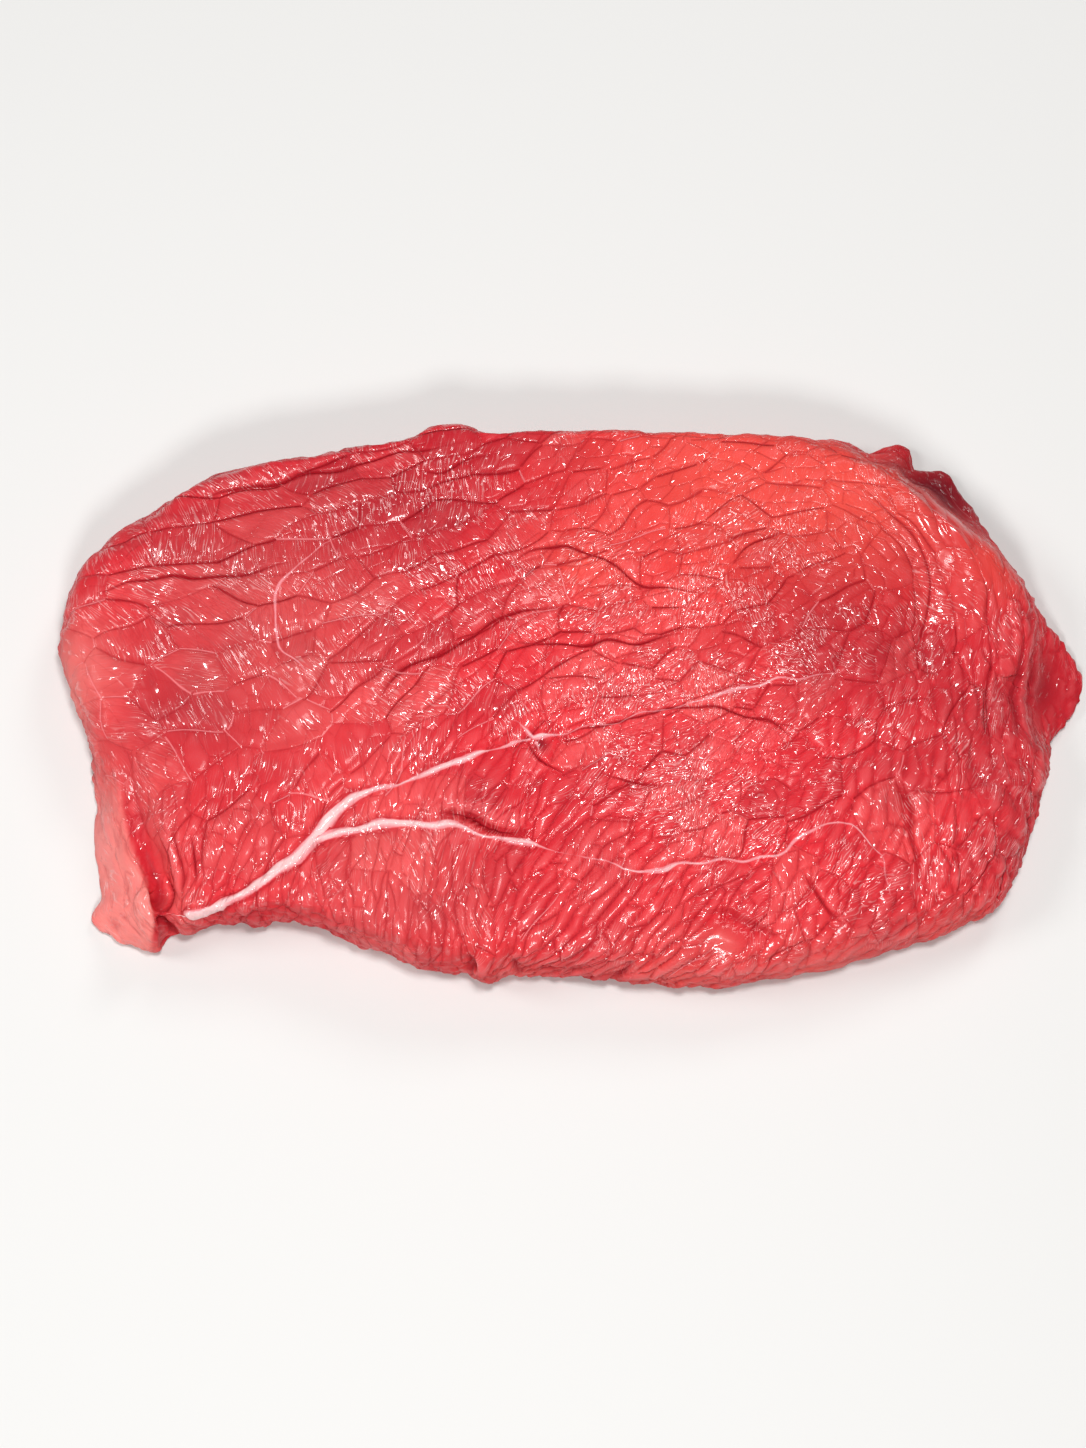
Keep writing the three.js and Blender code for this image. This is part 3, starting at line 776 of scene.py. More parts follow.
        # the creases' colour is painted shade; membranes and fat are the meat's own colours
        overlays = ((crease, linear(self.crease)), (membrane, linear(self.skin)), (fat_share, fat))
        for share, over in overlays:
            blend = {MIX_SHARE: share, MIX_UNDER: colour, MIX_OVER: over}
            colour = add_node(tree, "Mix", blend, data_type="RGBA")[MIX_RESULT]
        notches = ((crease, -self.crease_depth), (shoulder, -self.shoulder_depth))
        meat = (*notches, (fibres, self.fibre_depth))
        film = (*notches, (threads, self.thread_depth), (drops, self.drop_depth))
        bumps = []
        for layers in (meat, film):
            height: Any = 0.0
            for share, depth in layers:
                height = add_node(tree, "Math", (share, depth, height), operation="MULTIPLY_ADD")[0]
            bump = add_node(tree, "Bump", {"Strength": 1.0, "Distance": MM, "Height": height})
            bumps.append(bump["Normal"])
        shader = add_node(
            tree,
            "BsdfPrincipled",
            {
                "Base Color": colour,
                "Roughness": add_node(tree, "MapRange", (patch, *self.roughness))[0],
                "IOR": self.meat_ior,
                "Specular IOR Level": self.meat_gloss,
                "Normal": bumps[0],
                "Subsurface Weight": self.soak,
                "Subsurface Radius": self.soak_radius,
                "Subsurface Scale": self.soak_depth * MM,
                "Coat Weight": add_node(tree, "Math", (wet, slope), operation="MULTIPLY")[0],
                "Coat Roughness": self.juice_roughness,
                "Coat IOR": self.juice_ior,
                "Coat Normal": bumps[1],
            },
            subsurface_method="RANDOM_WALK",
        )
        add_node(tree, "OutputMaterial", {"Surface": shader["BSDF"]})
        return material

    def plump(self, tree: Tree, fibre: Socket, share: Socket) -> Socket:
        """Plump fibres with thin grooves between them.

        Args:
            tree: the material's nodes.
            fibre: places along and across the fibres.
            share: how strongly they stand up.

        Returns:
            A height, 0 in the grooves and seldom more than 1.
        """
        swell = add_node(tree, "TexNoise", self.fibre.over(fibre))["Fac"]
        centred = add_node(tree, "Math", (swell, 2.0, -1.0), operation="MULTIPLY_ADD")[0]
        folded = add_node(tree, "Math", (centred,), operation="ABSOLUTE")[0]
        rounded = add_node(tree, "Math", (folded, self.plumpness), operation="POWER")[0]
        return add_node(tree, "Math", (rounded, share), operation="MULTIPLY")[0]

    def juice(
        self,
        tree: Tree,
        fibre: Socket,
        fine: Socket,
        relief: Socket,
        shine: Socket,
        crease: Socket,
        threads: Socket,
    ) -> tuple[Socket, Socket]:
        """Small domes of juice, close together on fine meat and on crests, and rare on calm meat.

        Args:
            tree: the material's nodes.
            fibre: places along and across the fibres.
            fine: how strongly the fibres stand up.
            relief: height above what lies around.
            shine: share of an unbroken film.
            crease: the dark creases, which stay dry.
            threads: the pale skins, which stay wet.

        Returns:
            The domes' height, and how wet level meat is.
        """
        many = fine
        for source, share in ((relief, self.crest_juice), (shine, self.film_juice)):
            many = add_node(tree, "Math", (source, share, many), operation="MULTIPLY_ADD")[0]
        level = add_node(tree, "MapRange", (many, *self.drop_level))[0]
        swell = add_node(tree, "TexNoise", self.drop.over(fibre))["Fac"]
        above = add_node(tree, "Math", (swell, level), operation="SUBTRACT")[0]
        domes = add_node(tree, "MapRange", (above, *self.drop_dome), clamp=False)[0]
        drops = add_node(tree, "Math", (domes, 0.0), operation="MAXIMUM")[0]
        film = add_node(tree, "MapRange", (drops, *self.drop_film))[0]
        crest = add_node(tree, "MapRange", (relief, *self.crest_film))[0]
        for source in (threads, crest, shine):
            film = add_node(tree, "Math", (film, source), operation="MAXIMUM")[0]
        dry = add_node(tree, "MapRange", (crease, *self.crease_dry))[0]
        return drops, add_node(tree, "Math", (film, dry), operation="MULTIPLY")[0]

    def threads(self, tree: Tree, fibre: Socket, share: Socket) -> Socket:
        """Short crooked threads: the thin pale skins between the fibres, which the colour also paints as
        glints.

        Args:
            tree: the material's nodes.
            fibre: places along and across the fibres.
            share: how strongly they show.

        Returns:
            A share from 0 to 1.
        """
        gaps, bend = (
            add_node(tree, "TexNoise", speckle.over(fibre))["Fac"]
            for speckle in (self.thread, self.thread_bend)
        )
        across = add_node(tree, "SeparateXYZ", (fibre,))[1]
        steps = add_node(tree, "Math", (across, self.thread_gap), operation="DIVIDE")[0]
        bent = add_node(tree, "Math", (bend, self.bend_reach, steps), operation="MULTIPLY_ADD")[0]
        away = add_node(tree, "Math", (bent, 0.5), operation="PINGPONG")[0]
        for source, ramp in ((away, self.thread_core), (gaps, self.thread_breaks)):
            part = add_node(tree, "MapRange", (source, *ramp))[0]
            share = add_node(tree, "Math", (share, part), operation="MULTIPLY", use_clamp=True)[0]
        return share

    def crease_shares(
        self, tree: Tree, stored: dict[Field, Any], mottle: Socket
    ) -> tuple[Socket, Socket, Socket]:
        """Creases painted dark as shade, their rounded shoulders, and the pale membranes in some of them.

        Args:
            tree: the material's nodes.
            stored: what the mesh stores.
            mottle: small patches that vary the lines' width.

        Returns:
            The shares of painted crease shade, of shoulder and of membrane.
        """
        vectors = [stored[entry]["Vector"] for entry in (Field.GAPS, Field.FIRM)]
        gaps, strong = (list(add_node(tree, "SeparateXYZ", (vector,))) for vector in vectors)
        lines = (
            *zip(gaps, self.crease_widths, strong, self.crease_shades),
            *zip(gaps, self.shoulder_widths, strong, (1.0, 1.0, 1.0)),
            (gaps[0], self.membrane_width, stored[Field.FIRM]["Alpha"], self.membrane_share),
        )
        shares = []
        for gap, width, strength, share in lines:
            away = add_node(tree, "Math", (gap,), operation="ABSOLUTE")[0]
            widths = (mottle, width * self.line_range, width * self.line_least)
            reach = add_node(tree, "Math", widths, operation="MULTIPLY_ADD")[0]
            fall = (away, 0.0, reach, share, 0.0)
            drop = add_node(tree, "MapRange", fall, interpolation_type="SMOOTHSTEP")[0]
            line = add_node(tree, "Math", (drop, strength), operation="MULTIPLY", use_clamp=True)
            shares.append(line[0])
        deepest = []
        for first, second, third in (shares[:3], shares[3:6]):
            pair = add_node(tree, "Math", (first, second), operation="MAXIMUM")[0]
            deepest.append(add_node(tree, "Math", (pair, third), operation="MAXIMUM")[0])
        return deepest[0], deepest[1], shares[6]

    def fat_shares(self, tree: Tree, fat: Socket, mottle: Socket) -> tuple[Socket, Socket]:
        """Where fat shows, and where it is thick enough to look white.

        Args:
            tree: the material's nodes.
            fat: signed millimetres to the seam's middle, its half width, and the way along it.
            mottle: small patches that fray its edge.

        Returns:
            Two shares from 0 to 1.
        """
        off, half_width, way = add_node(tree, "SeparateXYZ", (fat,))
        along = add_node(tree, "Math", (way, self.streak_stretch), operation="MULTIPLY")[0]
        drawn = add_node(tree, "CombineXYZ", (along, off))["Vector"]
        streak = add_node(tree, "TexNoise", self.streak.over(drawn))["Fac"]
        away = add_node(tree, "Math", (off,), operation="ABSOLUTE")[0]
        inside = add_node(tree, "Math", (half_width, away), operation="SUBTRACT")[0]
        edge, core = (mottle, self.fat_fray, self.fat_edge), (streak, self.core_fray, self.fat_core)
        shares = []
        for source, fray, ramp in (edge, core):
            frayed = add_node(tree, "Math", (source, fray, inside), operation="MULTIPLY_ADD")[0]
            shares.append(add_node(tree, "MapRange", (frayed, *ramp), interpolation_type="SMOOTHSTEP")[0])
        return shares[0], shares[1]

    def colour(
        self, tree: Tree, tone: Socket, patch: Socket, crest: Socket, threads: Socket, relief: Socket
    ) -> Socket:
        """Lays the muscle's colours over each other, painting shade into hollows and highlights onto
        crests.

        Args:
            tree: the material's nodes.
            tone: shares of pale, coral and deep meat.
            patch: large soft patches.
            crest: the crests of the fibres; painted highlights go on them and painted shade between them.
            threads: the pale skins between them, also painted lighter as glints.
            relief: height above what lies around, which sets painted highlights and painted shade.

        Returns:
            The colour without the creases' painted shade, membranes and fat.
        """
        pale, coral, deep = add_node(tree, "SeparateXYZ", (tone,))
        blotch, groove_shade, crest_highlight, raised_light, shaded_hollow, skin_glint = (
            add_node(tree, "MapRange", (source, *ramp))[0]
            for source, ramp in (
                (patch, self.blotch),
                (crest, self.fibre_groove_shade),
                (crest, self.fibre_crest_highlight),
                (relief, self.raised_highlight),
                (relief, self.hollow_shade),
                (threads, self.skin_glint_share),
            )
        )
        # groove and hollow layers are painted shade; crest and raised layers, and part of the pale skins,
        # are painted highlights
        layers = (
            (blotch, self.shade),
            (pale, self.pale),
            (coral, self.coral),
            (groove_shade, self.groove_shade),
            (crest_highlight, self.crest_highlight),
            (raised_light, self.crest_highlight),
            (shaded_hollow, self.groove_shade),
            (deep, self.deep),
            (skin_glint, self.skin_glint),
        )
        colour: Any = linear(self.lean)
        for share, over in layers:
            blend = {MIX_SHARE: share, MIX_UNDER: colour, MIX_OVER: linear(over)}
            colour = add_node(tree, "Mix", blend, data_type="RGBA")[MIX_RESULT]
        return colour


@dataclass(frozen=True)
class PaleFloor:
    """Matt painted board: an even pale grey that takes a soft shadow."""

    name: str = "painted_board_matt"
    paint: str = "D9D8D6"
    roughness: float = 0.7
    grain_size: float = 1.5
    grain_depth: float = 0.05
    grain_strength: float = 0.1

    def build(self) -> bpy.types.Material:
        """Makes the material.

        Returns:
            The material, with its nodes.
        """
        material = bpy.data.materials.new(self.name)
        material.use_nodes = True
        tree = material.node_tree
        shader = tree.nodes["Principled BSDF"]
        shader.inputs["Base Color"].default_value = linear(self.paint)
        shader.inputs["Roughness"].default_value = self.roughness
        place = add_node(tree, "TexCoord")["Object"]
        grain = add_node(tree, "TexNoise", {"Vector": place, "Scale": 1 / (self.grain_size * MM)})["Fac"]
        grain_bump = {"Strength": self.grain_strength, "Distance": self.grain_depth * MM, "Height": grain}
        tree.links.new(add_node(tree, "Bump", grain_bump)["Normal"], shader.inputs["Normal"])
        return material


@dataclass
class SteakSlice:
    """The slice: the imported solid, refined and carved into bundles, strands, creases and fat seams."""

    solid: bpy.types.Object
    splits: int = 2  # times each triangle of the solid is cut in four
    relax_passes: int = 12
    relax_shares: Point = (0.5, -0.52)  # in, and out again
    face_passes: int = 60
    face_pull: float = 0.5
    face_tilt: Point = (0.6, 0.3)  # how level the meat is where the cut face starts, and until it is full
    face_rise: Point = (6.0, 3.0)  # the same for the height
    underside_step: float = 1.6
    underside_clear: float = 0.6  # steps between the foot and the nearest new vertex
    face_height: float = 15.5  # what lies lower belongs to the unrolled wall
    spine: tuple[Point, Point] = ((-55, -5), (60, 0))
    bundle_bend: Swell = Swell(14.0, 0.4, 1)
    strand_bend: Swell = Swell(12.0, 0.3, 3)
    crease_bend: Swell = Swell(12.0, 0.35, 7)
    seam_bend: Swell = Swell(9.0, 0.25, 9)
    broad_swell: Swell = Swell(15.0, 0.09, 5)
    fine_swell: Swell = Swell(5.0, 0.04, 6)
    wall_swell: Swell = Swell(3.4, 0.16, 11)
    wall_tilt: float = 0.7  # how level the meat is where a wall starts
    least_firm: float = 0.25  # of a bundle crease, when chance makes it faint
    end_firm: float = 0.5  # of a crease that crosses a bundle's end
    least_line: float = 0.3  # of a strand crease, when chance makes it faint
    membrane_mix: float = 7.31  # scrambles a crease's chance for its membrane
    bundle_pillow: float = 0.12
    pillow_edge: float = 1.4
    bundle_crease: float = 0.22
    crease_reach: float = 0.42
    strand_round: float = 0.42  # share of a strand's width that is rounded on each side
    strand_shingle: float = 0.5
    strand_lift: Point = (0.6, 0.8)  # least, and how much chance adds
    tone_share: float = 0.13  # how far a bundle may be paler or deeper than the next
    tone_chance: float = 0.4  # share of the bundles on each side that are
    relief_passes: int = 10
    juice_tilt: Point = (0.1, 0.5)  # how level the meat is where juice starts to stay, and until all does
    least_juice: float = 0.15
    tear_margin: float = 10.0
    lip_out: float = 3.5  # how far the lip of a torn step reaches back from its edge
    lip_in: float = 0.8
    edge_width: float = 0.6
    shade_depth: float = 0.8  # torn steps deeper than this get painted shade in their corner
    shade_reach: float = 0.7
    crease_margin: float = 12.0
    crease_lip: float = 4.0
    crease_lip_start: float = 0.7
    seam_margin: float = 6.0
    fat_least: float = 0.05
    fat_crown: float = 0.45
    fat_groove: float = 0.35
    fat_groove_gap: float = 0.3
    fat_groove_reach: float = 0.5
    fibre_turn: float = 1.6  # radians by which the fibres of two bundles may differ
    fibre_shift: float = 97.0  # moves each bundle to its own part of the pattern
    fine_mix: float = 5.7  # scrambles a bundle's chance for its fine fibres
    fine_range: Point = (0.35, 1.3)  # least, and how much chance adds
    foot_start: float = 0.1
    foot_height: float = 1.5  # the carving fades in over this height
    press: float = 0.6  # share of a groove that stays open on the board
    vertices: np.ndarray = field(init=False)
    triangles: np.ndarray = field(init=False)
    underside_start: int = field(init=False)
    chart: np.ndarray = field(init=False)
    fields: dict[Field, np.ndarray] = field(init=False, default_factory=dict)

    def build(self) -> bpy.types.Object:
        """Makes the slice.

        Returns:
            The object, carved and dressed.
        """
        self.take_solid()
        self.split()
        self.relax()
        self.smooth_face()
        self.nudge()
        self.close_underside()
        self.unroll()
        self.carve()
        piece = self.to_object()
        self.dress(piece)
        return piece

    def take_solid(self) -> None:
        """Reads the solid's triangles, joins their shared corners and drops the flat underside."""
        mesh = self.solid.data
        corners = np.empty(len(mesh.vertices) * 3, np.float32)
        mesh.vertices.foreach_get("co", corners)
        mesh.calc_loop_triangles()
        faces = np.empty(len(mesh.loop_triangles) * 3, np.int32)
        mesh.loop_triangles.foreach_get("vertices", faces)
        whole, joined = np.unique(np.round(corners.reshape(-1, 3) / MM, 3), axis=0, return_inverse=True)
        faces = joined.reshape(-1)[faces].reshape(-1, 3)
        flat = (whole[faces, 2] < NEAR_ZERO).all(1)
        self.vertices = whole.astype(float)
        self.triangles = faces[~flat]

    def split(self) -> None:
        """Cuts each triangle in four, a few times."""
        for _ in range(self.splits):
            sides = np.sort(self.triangles[:, [0, 1, 1, 2, 2, 0]].reshape(-1, 2), axis=1)
            edges, middle = np.unique(sides, axis=0, return_inverse=True)
            middle = middle.reshape(-1, 3) + len(self.vertices)
            self.vertices = np.vstack([self.vertices, self.vertices[edges].mean(1)])
            a, b, c = self.triangles.T
            ab, bc, ca = middle.T
            quarters = ((a, ab, ca), (ab, b, bc), (ca, bc, c), (ab, bc, ca))
            self.triangles = np.vstack([np.stack(quarter, 1) for quarter in quarters])

    def averager(self) -> Callable[[np.ndarray], np.ndarray]:
        """Makes the function that gives a value's mean over each vertex's neighbours."""
        start, stop = self.triangles[:, [0, 1, 1, 2, 2, 0]].reshape(-1, 2).T
        size = len(self.vertices)
        count = np.maximum(np.bincount(start, minlength=size), 1)
        return lambda values: np.bincount(start, values[stop], size) / count

    def relax(self) -> None:
        """Rounds off the solid's facets without shrinking it, with its foot held on the board."""
        around = self.averager()
        free = self.vertices[:, 2] >= NEAR_ZERO
        for share in self.relax_shares * self.relax_passes:
            mean = np.stack([around(column) for column in self.vertices.T], 1)
            moved = self.vertices + share * (mean - self.vertices)
            self.vertices[free] = moved[free]

    def smooth_face(self) -> None:
        """Evens out the solid's coarse bundles, which are carved again more finely."""
        around = self.averager()
        share = rise(self.normals()[:, 2], *self.face_tilt) * rise(self.vertices[:, 2], *self.face_rise)
        for _ in range(self.face_passes // 2):
            share = around(share)
        for _ in range(self.face_passes):
            height = self.vertices[:, 2]
            self.vertices[:, 2] += self.face_pull * share * (around(height) - height)

    def nudge(self) -> None:
        """Pulls a few places of the outline aside."""
        flat = self.vertices[:, :2].copy()
        for spot in NUDGES:
            share = bell(np.hypot(flat[:, 0] - spot.x, flat[:, 1] - spot.y), spot.radius)
            self.vertices[:, :2] += share[:, None] * np.array([spot.right, spot.back])

    def close_underside(self) -> None:
        """Fills the foot's loop with an even mesh, so that the underside can be dressed too."""
        directed = {(int(a), int(b)) for row in self.triangles for a, b in zip(row, np.roll(row, -1))}
        loop = [(a, b) for a, b in directed if (b, a) not in directed]
        ring = sorted({index for side in loop for index in side})
        number = {index: row for row, index in enumerate(ring)}
        foot = self.vertices[ring, :2]
        low, high = foot.min(0), foot.max(0)
        steps = (np.arange(low[k], high[k], self.underside_step) for k in range(2))
        grid = np.stack(np.meshgrid(*steps, indexing="ij"), -1).reshape(-1, 2)
        away = np.full(len(grid), np.inf)
        for point in foot:
            away = np.minimum(away, np.hypot(*(grid - point).T))
        grid = grid[away > self.underside_step * self.underside_clear]
        places = [Vector(point) for point in np.vstack([foot, grid])]
        sides = [(number[a], number[b]) for a, b in loop]
        spots, _, faces, origin, _, _ = delaunay_2d_cdt(places, sides, [], 1, NEAR_ZERO)
        self.underside_start = len(self.vertices)
        index = np.empty(len(spots), int)
        added = []
        for row, (spot, source) in enumerate(zip(spots, origin)):
            rim = [place for place in source if place < len(ring)]
            if rim:
                index[row] = ring[rim[0]]
            else:
                index[row] = self.underside_start + len(added)
                added.append((spot.x, spot.y, 0.0))
        self.vertices = np.vstack([self.vertices, added])
        self.triangles = np.vstack([self.triangles, index[np.array(faces)][:, ::-1]])
        used = np.unique(self.triangles)
        renumber = np.full(len(self.vertices), -1)
        renumber[used] = np.arange(len(used))
        self.underside_start = int((used < self.underside_start).sum())
        self.vertices = self.vertices[used]
        self.triangles = renumber[self.triangles]

    def unroll(self) -> None:
        """Lays the walls out flat around the cut face, so that one grain runs over both."""
        start, stop = (np.array(end, float) for end in self.spine)
        run = stop - start
        flat = self.vertices[:, :2]
        share = np.clip(((flat - start) @ run) / (run @ run), 0, 1)
        out = flat - start - share[:, None] * run
        out /= np.hypot(out[:, 0], out[:, 1])[:, None] + NEAR_ZERO
        drop = np.maximum(self.face_height - self.vertices[:, 2], 0)
        drop[self.underside_start :] = 0
        self.chart = flat + out * drop[:, None]

    def normals(self) -> np.ndarray:
        """Works out the smooth normal at each vertex."""
        a, b, c = (self.vertices[self.triangles[:, k]] for k in range(3))
        flat = np.cross(b - a, c - a)
        total = np.zeros_like(self.vertices)
        for corner in range(3):
            for axis in range(3):
                total[:, axis] += np.bincount(self.triangles[:, corner], flat[:, axis], len(self.vertices))
        return total / (np.linalg.norm(total, axis=1, keepdims=True) + NEAR_ZERO)

    def carve(self) -> None:
        """Moves the surface in and out and stores what the finish reads."""
        low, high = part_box(NODE)
        half = (float(high.x - low.x) / 2 / MM, float(high.y - low.y) / 2 / MM)
        columns = ("direction", "length", "width")
        bundles = Bundles(half, seed=7, tries=6000, outer_tries=4000, names=columns)
        columns = ("run", "strand_length", "strand_width")
        strands = Bundles(half, seed=23, tries=30000, outer_tries=16000, names=columns)
        LOG.info("bundles: %d, strands: %d", len(bundles.middles), len(strands.middles))
        bundle_places, strand_places = self.wavy(self.bundle_bend), self.wavy(self.strand_bend)
        in_bundle, in_strand = bundles.fit(bundle_places), strands.fit(strand_places)
        calm = 1 - spot_share(CALM_SPOTS, self.chart)
        chance = bundles.pair_chance(in_bundle)
        firm = bundles.shared("firm", in_bundle) * (self.least_firm + (1 - self.least_firm) * chance)
        firm *= (self.end_firm + (1 - self.end_firm) * in_bundle.beside) * calm
        line = self.least_line + (1 - self.least_line) * strands.pair_chance(in_strand)
        line *= strands.shared("line", in_strand) * calm
        membrane = (bundles.shared("membrane", in_bundle) > (chance * self.membrane_mix) % 1) * calm
        height = calm * self.strand_relief(strands, in_strand)
        height += calm * self.bundle_relief(bundles, in_bundle, firm)
        height += self.swell(self.broad_swell) + self.swell(self.fine_swell) * calm
        corner = self.triangles.ravel()
        bundle_lead, strand_lead = self.leads(in_bundle.gap), self.leads(in_strand.gap)
        own, other = in_bundle.own[bundle_lead], in_bundle.other[bundle_lead]
        bundle_gap, _ = bundles.between(bundle_places[corner], own, other)
        strand_gap, _ = strands.between(
            strand_places[corner], in_strand.own[strand_lead], in_strand.other[strand_lead]
        )
        long_gap, long_firm = self.carve_creases(height)
        self.fields[Field.GAPS] = np.stack([bundle_gap, strand_gap, long_gap], 1)
        self.fields[Field.FIRM] = np.stack(
            [firm[bundle_lead], line[strand_lead], long_firm, membrane[bundle_lead]], 1
        )
        self.fields[Field.FAT] = self.lay_fat(height)
        self.fields[Field.FIBRE] = self.fibre_places(bundles, own, calm)
        torn, inside, dark = self.tear()
        self.fields[Field.TONE] = self.tones(bundles.chance[in_bundle.own], calm, inside, dark)
        self.fields[Field.RELIEF] = height - self.spread(height, self.relief_passes)
        self.fields[Field.SHINE] = spot_share(WET_SPOTS, self.chart)
        upright = self.normals()[:, 2]
        self.fields[Field.SLOPE] = np.maximum(rise(upright, *self.juice_tilt), self.least_juice)
        steep = 1 - rise(upright, 0, self.wall_tilt)
        self.move(height + torn + self.swell(self.wall_swell) * steep * calm)

    def tones(
        self, chance: np.ndarray, calm: np.ndarray, inside: np.ndarray, dark: np.ndarray
    ) -> np.ndarray:
        """Mixes the meat's tones.

        Args:
            chance: a number from 0 to 1 for each vertex, the same all over its bundle.
            calm: share of relief at each vertex.
            inside: how far each vertex lies inside a torn step, which isn't pale.
            dark: how much painted shade it gets in the corner of one.

        Returns:
            Shares of pale, coral and deep meat for each vertex.
        """
        kinds = (PALE_AND_HIGHLIT_SPOTS, CORAL_SPOTS, DEEP_AND_SHADED_SPOTS)
        pale, coral, deep = (spot_share(spots, self.chart) for spots in kinds)
        pale += self.tone_share * calm * rise(chance, 1 - self.tone_chance, self.tone_chance)
        deep += self.tone_share * calm * (1 - rise(chance, 0, self.tone_chance))
        # the torn steps' corners are painted deep as shade
        return np.stack([pale * (1 - inside), coral, np.maximum(deep, dark)], 1)

    def leads(self, gap: np.ndarray) -> np.ndarray:
        """Picks the vertex of each triangle that is nearest a crease.

        Args:
            gap: distance of each vertex.

        Returns:
            The picked vertex, once for each corner of the triangle.
        """
        nearest = np.abs(gap)[self.triangles].argmin(1)
        return np.repeat(self.triangles[np.arange(len(self.triangles)), nearest], 3)

    def spread(self, values: np.ndarray, passes: int) -> np.ndarray:
        """Averages a value with its neighbours.

        Args:
            values: one for each vertex.
            passes: how often; each reaches one vertex further.

        Returns:
            The averaged values.
        """
        around = self.averager()
        for _ in range(passes):
            values = around(values)
        return values

    def swell(self, waves: Swell) -> np.ndarray:
        """Height of some soft waves at each vertex."""
        return waves.reach * ripples(self.chart, waves.size, waves.seed)

    def wavy(self, bend: Swell) -> np.ndarray:
        """Shifts the vertices' places a little, so that no crease runs straight."""
        shift = [ripples(self.chart, bend.size, seed) for seed in (bend.seed, bend.seed + 1)]
        return self.chart + bend.reach * np.stack(shift, 1)

    def bundle_relief(self, bundles: Bundles, fit: BundleFit, firm: np.ndarray) -> np.ndarray:
        """Pillows, tilts and creases of the bundles.

        Args:
            bundles: the bundles.
            fit: the vertices' places in them.
            firm: how deep each crease is.

        Returns:
            A height for each vertex.
        """
        inner = 1 - bell(fit.gap, self.pillow_edge)
        tilt = (bundles.chance[fit.own] - 0.5) * bundles.lie["tilt"][fit.own]
        crease = self.bundle_crease * firm * bell(fit.gap, self.crease_reach)
        return inner * (self.bundle_pillow + tilt * fit.across) - crease

    def strand_relief(self, strands: Bundles, fit: BundleFit) -> np.ndarray:
        """Round strands that lie over each other like shingles.

        Args:
            strands: the strands.
            fit: the vertices' places in them.

        Returns:
            A height for each vertex.
        """
        flank = np.minimum(fit.gap / (self.strand_round * strands.width[fit.own]), 1)
        dome = 1 - (1 - flank) ** 2
        least, more = self.strand_lift
        lift = least + more * strands.chance[fit.own]
        return strands.lie["swell"][fit.own] * lift * (dome - 0.5 - self.strand_shingle * fit.along * dome)

    def tear(self) -> tuple[np.ndarray, np.ndarray, np.ndarray]:
        """Tears the steps.

        Returns:
            For each vertex, a height, how far it lies inside a step, and how far in its dark corner.
        """
        height, inside, corner = np.zeros((3, len(self.vertices)))
        for tear in TEARS:
            path = smooth_path(np.array(tear.path))
            away, depth = path_distance(path, self.vertices[:, :2], self.tear_margin)
            depth = np.maximum(depth, 0)
            depth[self.underside_start :] = 0
            back_up = rise(away, tear.wall, tear.floor)
            left = 1 - back_up * back_up * (3 - 2 * back_up)
            lip = np.clip(1 - np.abs(away) / np.where(away < 0, self.lip_out, self.lip_in), 0, 1)
            height += depth * (tear.lip * lip - rise(away, 0, tear.wall) * left)
            inside += np.clip(depth, 0, 1) * rise(away, 0, self.edge_width) * left
            # painted shade: the corner under a deep wall is darkened in colour
            corner += tear.dark * rise(depth, self.shade_depth, 1) * bell(away - tear.wall, self.shade_reach)
        return height, inside, corner

    def carve_creases(self, height: np.ndarray) -> Pair:
        """Cuts the long creases.

        Args:
            height: of each vertex, changed in place.

        Returns:
            For each corner, the signed distance to the nearest long crease and how strong it is there.
        """
        places = self.wavy(self.crease_bend)
        paths = [smooth_path(with_ends(crease.path)) for crease in CREASES]
        measured = np.array([path_distance(path, places, self.crease_margin) for path in paths])
        for crease, (away, share) in zip(CREASES, measured):
            height -= share * crease.depth * bell(away, crease.half_width)
            lips = np.sign(away) * bell(away, self.crease_lip) * (1 - bell(away, self.crease_lip_start))
            height += share * crease.step * lips
        measured[:, 1] *= np.array([crease.dark for crease in CREASES])[:, None]
        return self.nearest_path(measured, np.abs(measured[:, 0]).argmin(0))

    def nearest_path(self, measured: np.ndarray, pick: np.ndarray) -> Pair:
        """Reads one path for all the corners of a triangle.

        Args:
            measured: signed distances and values of each path at each vertex.
            pick: the path that each vertex belongs to.

        Returns:
            For each corner, the signed distance and the value.
        """
        lead = self.leads(measured[pick, 0, np.arange(len(pick))])
        corner = self.triangles.ravel()
        return measured[pick[lead], 0, corner], measured[pick[lead], 1, corner]

    def lay_fat(self, height: np.ndarray) -> np.ndarray:
        """Raises the fat seams.

        Args:
            height: of each vertex, changed in place.

        Returns:
            For each corner, the signed distance to the nearest seam, its half width and the way along it.
        """
        places = self.wavy(self.seam_bend)
        paths = [smooth_path(np.array(seam)) for seam in SEAMS]
        measured = np.array([path_distance(path, places, self.seam_margin) for path in paths])
        for away, half_width in measured:
            crown = 1 - (away / np.maximum(half_width, self.fat_least)) ** 2
            wide = np.minimum(half_width, 1)
            height += self.fat_crown * np.sqrt(np.clip(crown, 0, 1)) * wide
            beside = np.abs(away) - half_width - self.fat_groove_gap
            height -= self.fat_groove * wide * bell(beside, self.fat_groove_reach)
        inside = measured[:, 1] - np.abs(measured[:, 0])
        away, half_width = self.nearest_path(measured, inside.argmax(0))
        return np.stack([away, half_width, self.chart[self.triangles.ravel(), 0]], 1)

